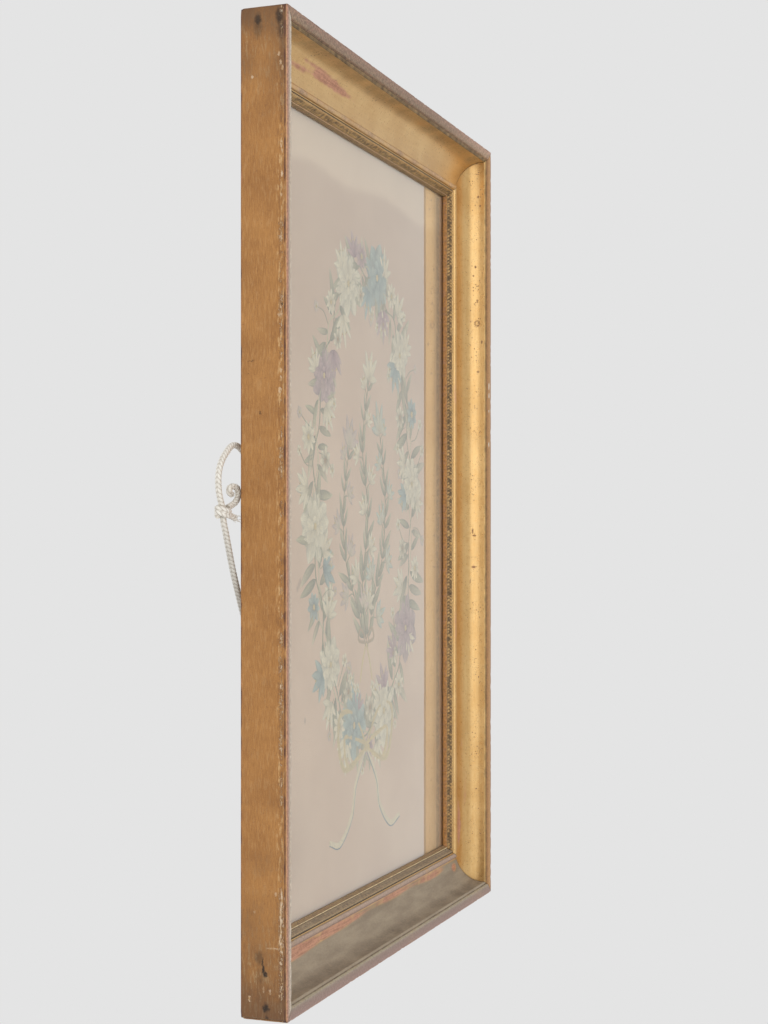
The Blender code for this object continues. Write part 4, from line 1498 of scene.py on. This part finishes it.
EYE_ACROSS = 25.0
EYE_HEIGHT = -286.0
EYE_RING = 3.4
EYE_WIRE = 1.0
EYE_SHANK = [(0.0, -7.5), (0.0, -3.0), (0.0, 0.4), (0.3, 0.9), (0.9, 1.5)]
CORD_DIAMETER = 4.1
BOW_ROUTE = [
    (-203.5, 5.0, -287.3), (-203.5, 5.0, -284.3), (-203.8, 5.0, -281.3), (-205.0, 5.0, -278.2),
    (-207.4, 5.0, -275.2), (-211.0, 5.1, -272.4), (-215.4, 5.2, -270.1), (-220.6, 5.4, -268.2),
    (-225.8, 5.6, -267.8), (-231.2, 5.7, -269.4), (-236.4, 5.7, -272.6), (-242.6, 5.7, -277.4),
    (-247.4, 5.7, -283.6), (-249.2, 5.7, -290.6), (-248.6, 5.7, -297.0), (-246.6, 5.8, -302.2),
    (-244.2, 5.9, -305.9),
]
KNOT_ROUTE = [(-242.4, 5.9, -309.4), (-241.4, 5.9, -313.2)]
SLACK_ROUTE = [
    (-241.2, 5.8, -317.4), (-239.0, 5.7, -322.6), (-233.9, 5.7, -334.1), (-227.9, 5.7, -347.5),
    (-220.9, 5.7, -360.7), (-208.5, 5.7, -381.9), (-190.5, 5.7, -409.1), (-168.5, 5.7, -437.2),
    (-140.5, 5.7, -465.8), (-108.5, 5.7, -489.7), (-68.5, 5.7, -508.1), (-23.5, 5.7, -515.0),
    (21.5, 5.7, -508.1), (61.5, 5.7, -489.7), (93.5, 5.7, -465.8), (121.5, 5.7, -437.2),
    (143.5, 5.7, -409.1), (162.0, 5.7, -378.6), (176.8, 5.7, -350.4), (188.0, 5.8, -326.8),
    (196.5, 5.8, -308.0), (201.6, 5.4, -295.5), (203.3, 5.1, -289.5), (203.5, 5.0, -286.6),
    (203.5, 5.0, -284.5),
]
CURL_ROUTE = [
    (-234.8, 6.0, -308.2), (-231.0, 5.6, -307.0), (-226.5, 4.7, -304.9), (-223.6, 4.2, -301.9),
    (-222.8, 4.0, -298.6), (-224.8, 4.2, -295.4), (-229.7, 4.8, -294.5), (-232.5, 5.6, -296.0),
    (-231.3, 6.3, -298.5), (-227.0, 6.6, -299.7),
]
CUT_END_ROUTE = [(-234.7, 5.5, -312.9), (-231.5, 4.7, -313.8), (-227.8, 4.0, -315.0)]
KNOTS = [
    ("knot_wraps", "cord_knot", (-241.7, 5.9, -311.2), (7.0, 5.2, 5.0), 1.95),
    ("eye_knot_left", "cord_knot_left", (-203.5, 5.0, -291.7), (4.1, 4.0, 4.0), 1.25),
    ("eye_knot_right", "cord_knot_right", (203.5, 5.0, -280.1), (4.1, 4.0, 4.0), 1.25),
]
BRAID_COLUMNS = 4
BRAID_PITCH = 2.9
CORD_SPACING = 0.45
CORD_SIDES = 32
TAIL_SPACING = 0.4
WRAP_SIDES = 24
FRAY_COUNT = 26
FRAY_SIDES = 5
FRAY_RADIUS = 0.13


def braided(name, route, radius, material, sides=CORD_SIDES, closed=False):
    """A braided cord along the route: strands cross in two directions and stand out where they pass over."""
    travelled = distances(route)
    turn = np.arange(sides) * 2 * math.pi / sides
    around = turn[None, :] * BRAID_COLUMNS / (2 * math.pi)
    column = np.floor(around)
    share = around - column
    onward = travelled[:, None] / (BRAID_PITCH * radius / 2.05)
    slant = np.where(column % 2 == 0, share, 1 - share) * 0.9
    strand = np.abs(np.sin(math.pi * (onward + slant)))
    bump = strand ** 0.8 * np.sin(math.pi * np.clip(share, 0.06, 0.94)) ** 0.5
    verts = tube_points(route, radius * (0.84 + 0.22 * bump), sides, closed)
    faces = tube_faces(len(route), sides, closed=closed)
    piece = add_mesh(name, verts * MM, faces, material, smooth_angle=70)
    lay = np.broadcast_arrays(turn[None, :] * radius, travelled[:, None], np.zeros(bump.shape))
    add_values(piece, "lay", np.stack(lay, axis=-1).reshape(-1, 3))
    add_values(piece, "hollow", (1 - bump).ravel())
    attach(piece, "root")
    return piece


def build_frays(cotton):
    """Loose fibres at the cord's cut end."""
    dice = random.Random(11)
    end = np.array(CUT_END_ROUTE[-1])
    way = end - np.array(CUT_END_ROUTE[-2])
    way /= np.linalg.norm(way)
    verts, faces = np.zeros((0, 3)), []
    for strand in range(FRAY_COUNT):
        spread = np.array([dice.uniform(-1, 1) for axis in range(3)])
        start = end - 0.8 * way + 1.3 * (spread - way * spread.dot(way))
        reach = dice.uniform(1.4, 3.4)
        bend = np.array([dice.uniform(-0.5, 0.5) for axis in range(3)])
        shares = (0.0, 0.35, 0.7, 1.0)
        points = [start + way * reach * t + (0.45 * spread + bend * t) * reach * t for t in shares]
        route = smooth_route(points, 0.5)
        faces += tube_faces(len(route), FRAY_SIDES, len(verts))
        verts = np.vstack([verts, tube_points(route, FRAY_RADIUS, FRAY_SIDES)])
    piece = add_mesh("cord_frays", verts * MM, faces, cotton)
    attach(piece, "root")
    return piece


def knot_loop(half, thickness, closed):
    """The middle line of a knot: a closed trefoil at an eye, or open wraps round the cord."""
    if closed:
        t = np.linspace(0, 2 * math.pi, 120, endpoint=False)
        across = (half[0] - thickness) / 3 * (np.sin(t) + 2 * np.sin(2 * t))
        behind = -(half[1] - thickness) * np.sin(3 * t)
        upward = (half[2] - thickness) / 3 * (np.cos(t) - 2 * np.cos(2 * t))
    else:
        t = np.linspace(0.15 * math.pi, 4.9 * math.pi, 190)
        across = (half[0] - thickness) * np.cos(t)
        behind = (half[1] - thickness) * np.sin(t)
        upward = 3.0 - 1.22 * t / math.pi + 0.16 * behind + 0.35 * np.sin(2.2 * t)
    return np.stack([across, behind, upward], axis=1)


def build_cord():
    cotton = cotton_cord()
    radius = CORD_DIAMETER / 2
    route = smooth_route(BOW_ROUTE + KNOT_ROUTE + SLACK_ROUTE, CORD_SPACING)
    cord = braided("hanging_cord", route, radius, cotton)
    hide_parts("cord_bow", "cord_slack")
    tails = (("cord_tail", "cord_curl", CURL_ROUTE), ("cord_stub", "cord_cut_end", CUT_END_ROUTE))
    for name, node, points in tails:
        tail = braided(name, smooth_route(points, TAIL_SPACING), radius, cotton)
        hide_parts(node)
    for name, node, centre, half, thickness in KNOTS:
        closed = name != "knot_wraps"
        loop = knot_loop(half, thickness, closed)
        knot = braided(name, loop + np.array(centre), thickness, cotton, WRAP_SIDES, closed)
        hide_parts(node)
    build_frays(cotton)


def build_eyes():
    brass = old_brass()
    sides = 14
    for side, way in (("left", -1), ("right", 1)):
        x = way * (WIDTH / 2 - EYE_ACROSS)
        middle = np.array([x, 5.0, EYE_HEIGHT])
        points = [(x + sideways, y, EYE_HEIGHT) for sideways, y in EYE_SHANK]
        for step in range(23):
            turn = math.radians(-60 + 296 * step / 22)
            points.append(tuple(middle + EYE_RING * np.array([math.cos(turn), math.sin(turn), 0.0])))
        route = smooth_route(points, 0.35)
        verts = tube_points(route, EYE_WIRE, sides)
        eye = add_mesh(f"wire_eye_{side}", verts * MM, tube_faces(len(route), sides), brass)
        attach(eye, "root")
        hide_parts(f"screw_eye_{side}")


# Studio: the photograph's viewpoint, a wide window on the left and a round floor, in metres

VIEWPOINT = (-1.2654, -0.4743, -0.3322)
VIEW_WAY = (0.9401, 0.3409, 0.0)
LENS = 62.19
SHIFT_UP = 0.0322
ROOM_GREY = 0.776
WINDOW_PLACE = (-2.2, -1.15, 0.05)
WINDOW_SIZE = (3.6, 1.9)
WINDOW_WATTS = 22.4
FLOOR_RADIUS = 2.15
FLOOR_LEVEL = -1.33
FLOOR_THICKNESS = 0.02
FLOOR_SIDES = 96


def build_camera():
    camera = bpy.data.cameras.new("photo_camera")
    camera.lens = LENS
    camera.sensor_width = 36.0
    camera.shift_y = SHIFT_UP
    viewpoint = bpy.data.objects.new("photo_camera", camera)
    bpy.context.collection.objects.link(viewpoint)
    viewpoint.location = VIEWPOINT
    viewpoint.rotation_euler = Vector(VIEW_WAY).to_track_quat("-Z", "Y").to_euler()
    bpy.context.scene.camera = viewpoint


def build_light():
    scene = bpy.context.scene
    scene.view_settings.view_transform = "Standard"
    world = bpy.data.worlds.new("pale_room")
    world.use_nodes = True
    background = world.node_tree.nodes["Background"]
    background.inputs["Color"].default_value = (ROOM_GREY, ROOM_GREY, ROOM_GREY, 1.0)
    background.inputs["Strength"].default_value = 1.0
    scene.world = world

    lamp = bpy.data.lights.new("window", "AREA")
    lamp.shape = "RECTANGLE"
    lamp.size, lamp.size_y = WINDOW_SIZE
    lamp.energy = WINDOW_WATTS
    window = bpy.data.objects.new("window", lamp)
    bpy.context.collection.objects.link(window)
    window.location = WINDOW_PLACE
    aim = Vector((0.0, 0.0, CENTRE * MM)) - window.location
    window.rotation_euler = aim.to_track_quat("-Z", "Y").to_euler()
    window.visible_camera = False


def build_floor():
    sides = FLOOR_SIDES
    rim = [beside((0.0, 0.0), FLOOR_RADIUS, 2 * math.pi * i / sides) for i in range(sides)]
    verts = [(x, y, level) for level in (FLOOR_LEVEL, FLOOR_LEVEL - FLOOR_THICKNESS) for x, y in rim]
    faces = [list(range(sides)), list(range(2 * sides - 1, sides - 1, -1))]
    faces += [[i, (i + 1) % sides, sides + (i + 1) % sides, sides + i] for i in range(sides)]
    floor = add_mesh("studio_floor", verts, faces, studio_floor_paint())


build_camera()
build_light()
build_floor()
build_cord()
build_eyes()
build_rails()
build_inner()
build_glass()
build_cloth()
build_back()
